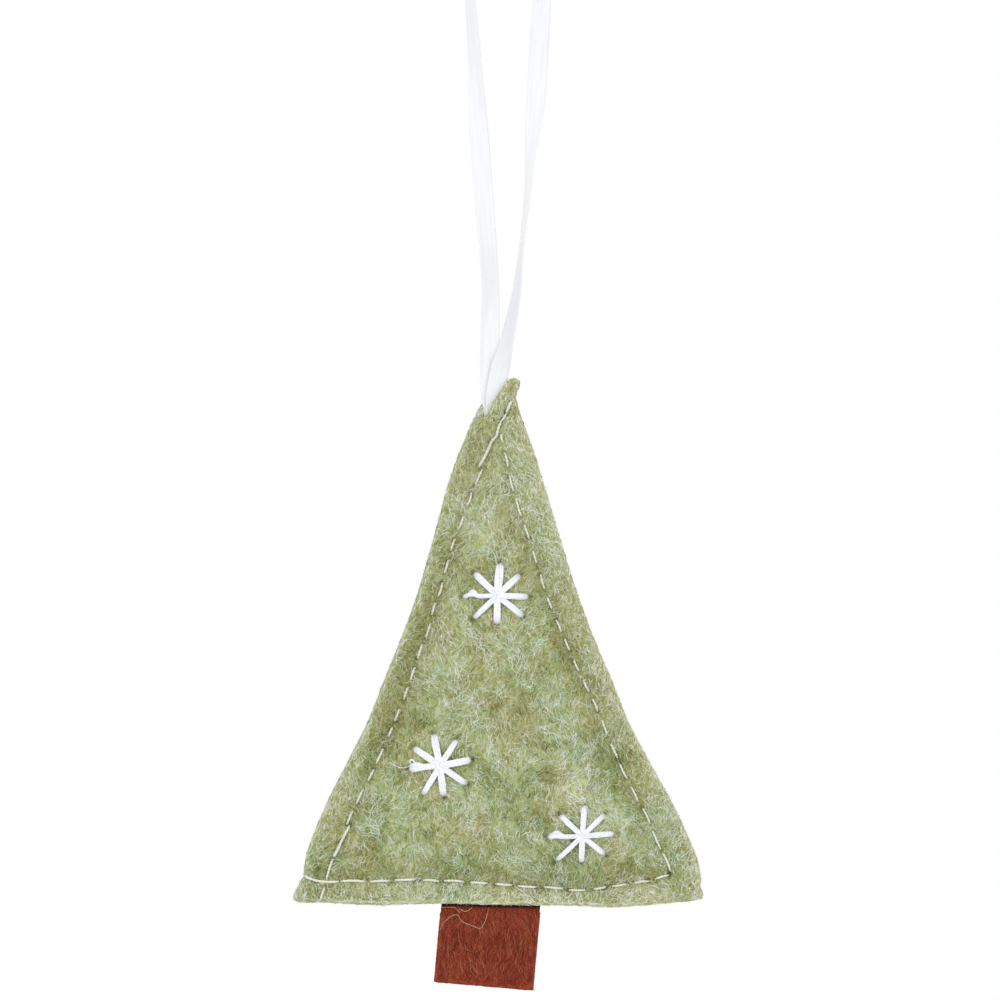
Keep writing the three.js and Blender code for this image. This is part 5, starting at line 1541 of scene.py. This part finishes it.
def make_wadding(front, material):
    """The stuffing: two lumpy faces just inside the panels, over the pocket between the seams, that meet in a
    thin rim."""
    share = np.linspace(0, 1, WADDING_ROWS)[:, None]
    row = WADDING_TOP + (WADDING_BOTTOM - WADDING_TOP) * share
    left, right = left_seam(row) + WADDING_INSET, right_seam(row) - WADDING_INSET
    x = left + (right - left) * np.linspace(0, 1, WADDING_COLUMNS)[None, :]
    depth = row + (base_seam(x) - WADDING_INSET - WADDING_BOTTOM) * share**4
    rim = np.minimum(ease(share, 0, 0.06), ease(1 - share, 0, 0.05))
    rim = rim * ease(x - left, 0, 2) * ease(right - x, 0, 2)
    faces = []
    for side, seed in ((-1, 81), (1, 82)):
        lumps = ripples(x, depth, WADDING_LUMPS, (seed, seed + 5))
        height = np.maximum(front.inner(x, depth) - WADDING_CLEAR + lumps - WADDING_SINK, WADDING_LEAST)
        height = WADDING_RIM + (height - WADDING_RIM) * rim
        faces.append(place(x, side * height + front.wave(x, depth), depth))
    points, index = slab(*faces, flip=True)
    made = make_piece("wadding_fill", points, index, material)
    on_tree(made, "wadding")


# The whole ornament

make_ribbon()
wool = wool_group()
green = felt_material("Heathered green felt", wool, GREEN_FELT, 1.0, 0.5, 0.15)
green_fibre = fibre_material("Green felt fibres", WARM_GREENS, COOL_GREENS, 0.15)
front = Panel(-1, FRONT_LEFT_TIP, np.concatenate([NEEDLE_HOLES, FLOSS_HOLES]), 11)
back = Panel(1, BACK_LEFT_TIP, NEEDLE_HOLES, 21)
make_panel("front_felt", "front_panel", front, green)
make_panel("back_felt", "back_panel", back, green)
make_wadding(front, wadding_material(wool))
for side, panel, seed in (("front", front, 100), ("back", back, 200)):
    for name, step, *layer in FELT_LAYERS:
        felt_fibres(f"{name}_{side}", panel, green_fibre, seed + step, *layer)
    rim_fibres(f"rim_fibres_{side}", panel, green_fibre, seed + 5)
    cut_fibres(f"cut_fibres_{side}", panel, green_fibre, seed + 7)
    for name, step, *layer in FRONT_LAYERS if panel is front else ():
        felt_fibres(f"{name}_{side}", panel, green_fibre, seed + step, *layer)
    edge_fuzz(f"edge_fuzz_{side}", panel, green_fibre, seed + 2)
fibres_by_ribbon("fibres_by_ribbon", back, front, green_fibre, 110)

thread = thread_material("Cream thread", CREAM_THREAD, 0.2, 0.6)
left_girths = LEFT_TOP_GIRTHS + [1.0] * len(LEFT_STITCHES) + LEFT_LOW_GIRTHS
other_run = np.concatenate([BASE_RUN, RIGHT_RUN])
other_girths = [*np.linspace(*BASE_GIRTHS, len(BASE_RUN))] + [RIGHT_GIRTH] * len(RIGHT_RUN)
runs = (("left", LEFT_RUN, left_girths, LEFT_DULL, 301), ("base_right", other_run, other_girths, 0.0, 303))
for (run, ends, girths, dull, seed), longer in zip(runs, NEEDLE_LONGER):
    sewn = (ends, girths, thread, dull)
    stitches(f"{run}_stitches_front", f"needle_thread_{run}", front, *sewn, seed, longer)
    stitches(f"{run}_stitches_back", f"bobbin_thread_{run}", back, *sewn, seed + 1, BOBBIN_LONGER)

floss = thread_material("White floss", WHITE_FLOSS, 0.3, 0.5)
for seed, node in enumerate(SNOWFLAKES):
    make_snowflake(node, front, floss, 401 + seed)
floss_end(front, floss)
rust = felt_material("Rust felt", wool, RUST_FELT, 1.3, 0.35, 0.03)
rust_fibre = fibre_material("Rust felt fibres", WARM_RUSTS, COOL_RUSTS, 0.03)
make_trunk(rust, rust_fibre, fibre_material("Pale loose threads", PALE_STOPS, PALE_STOPS, 0.1))
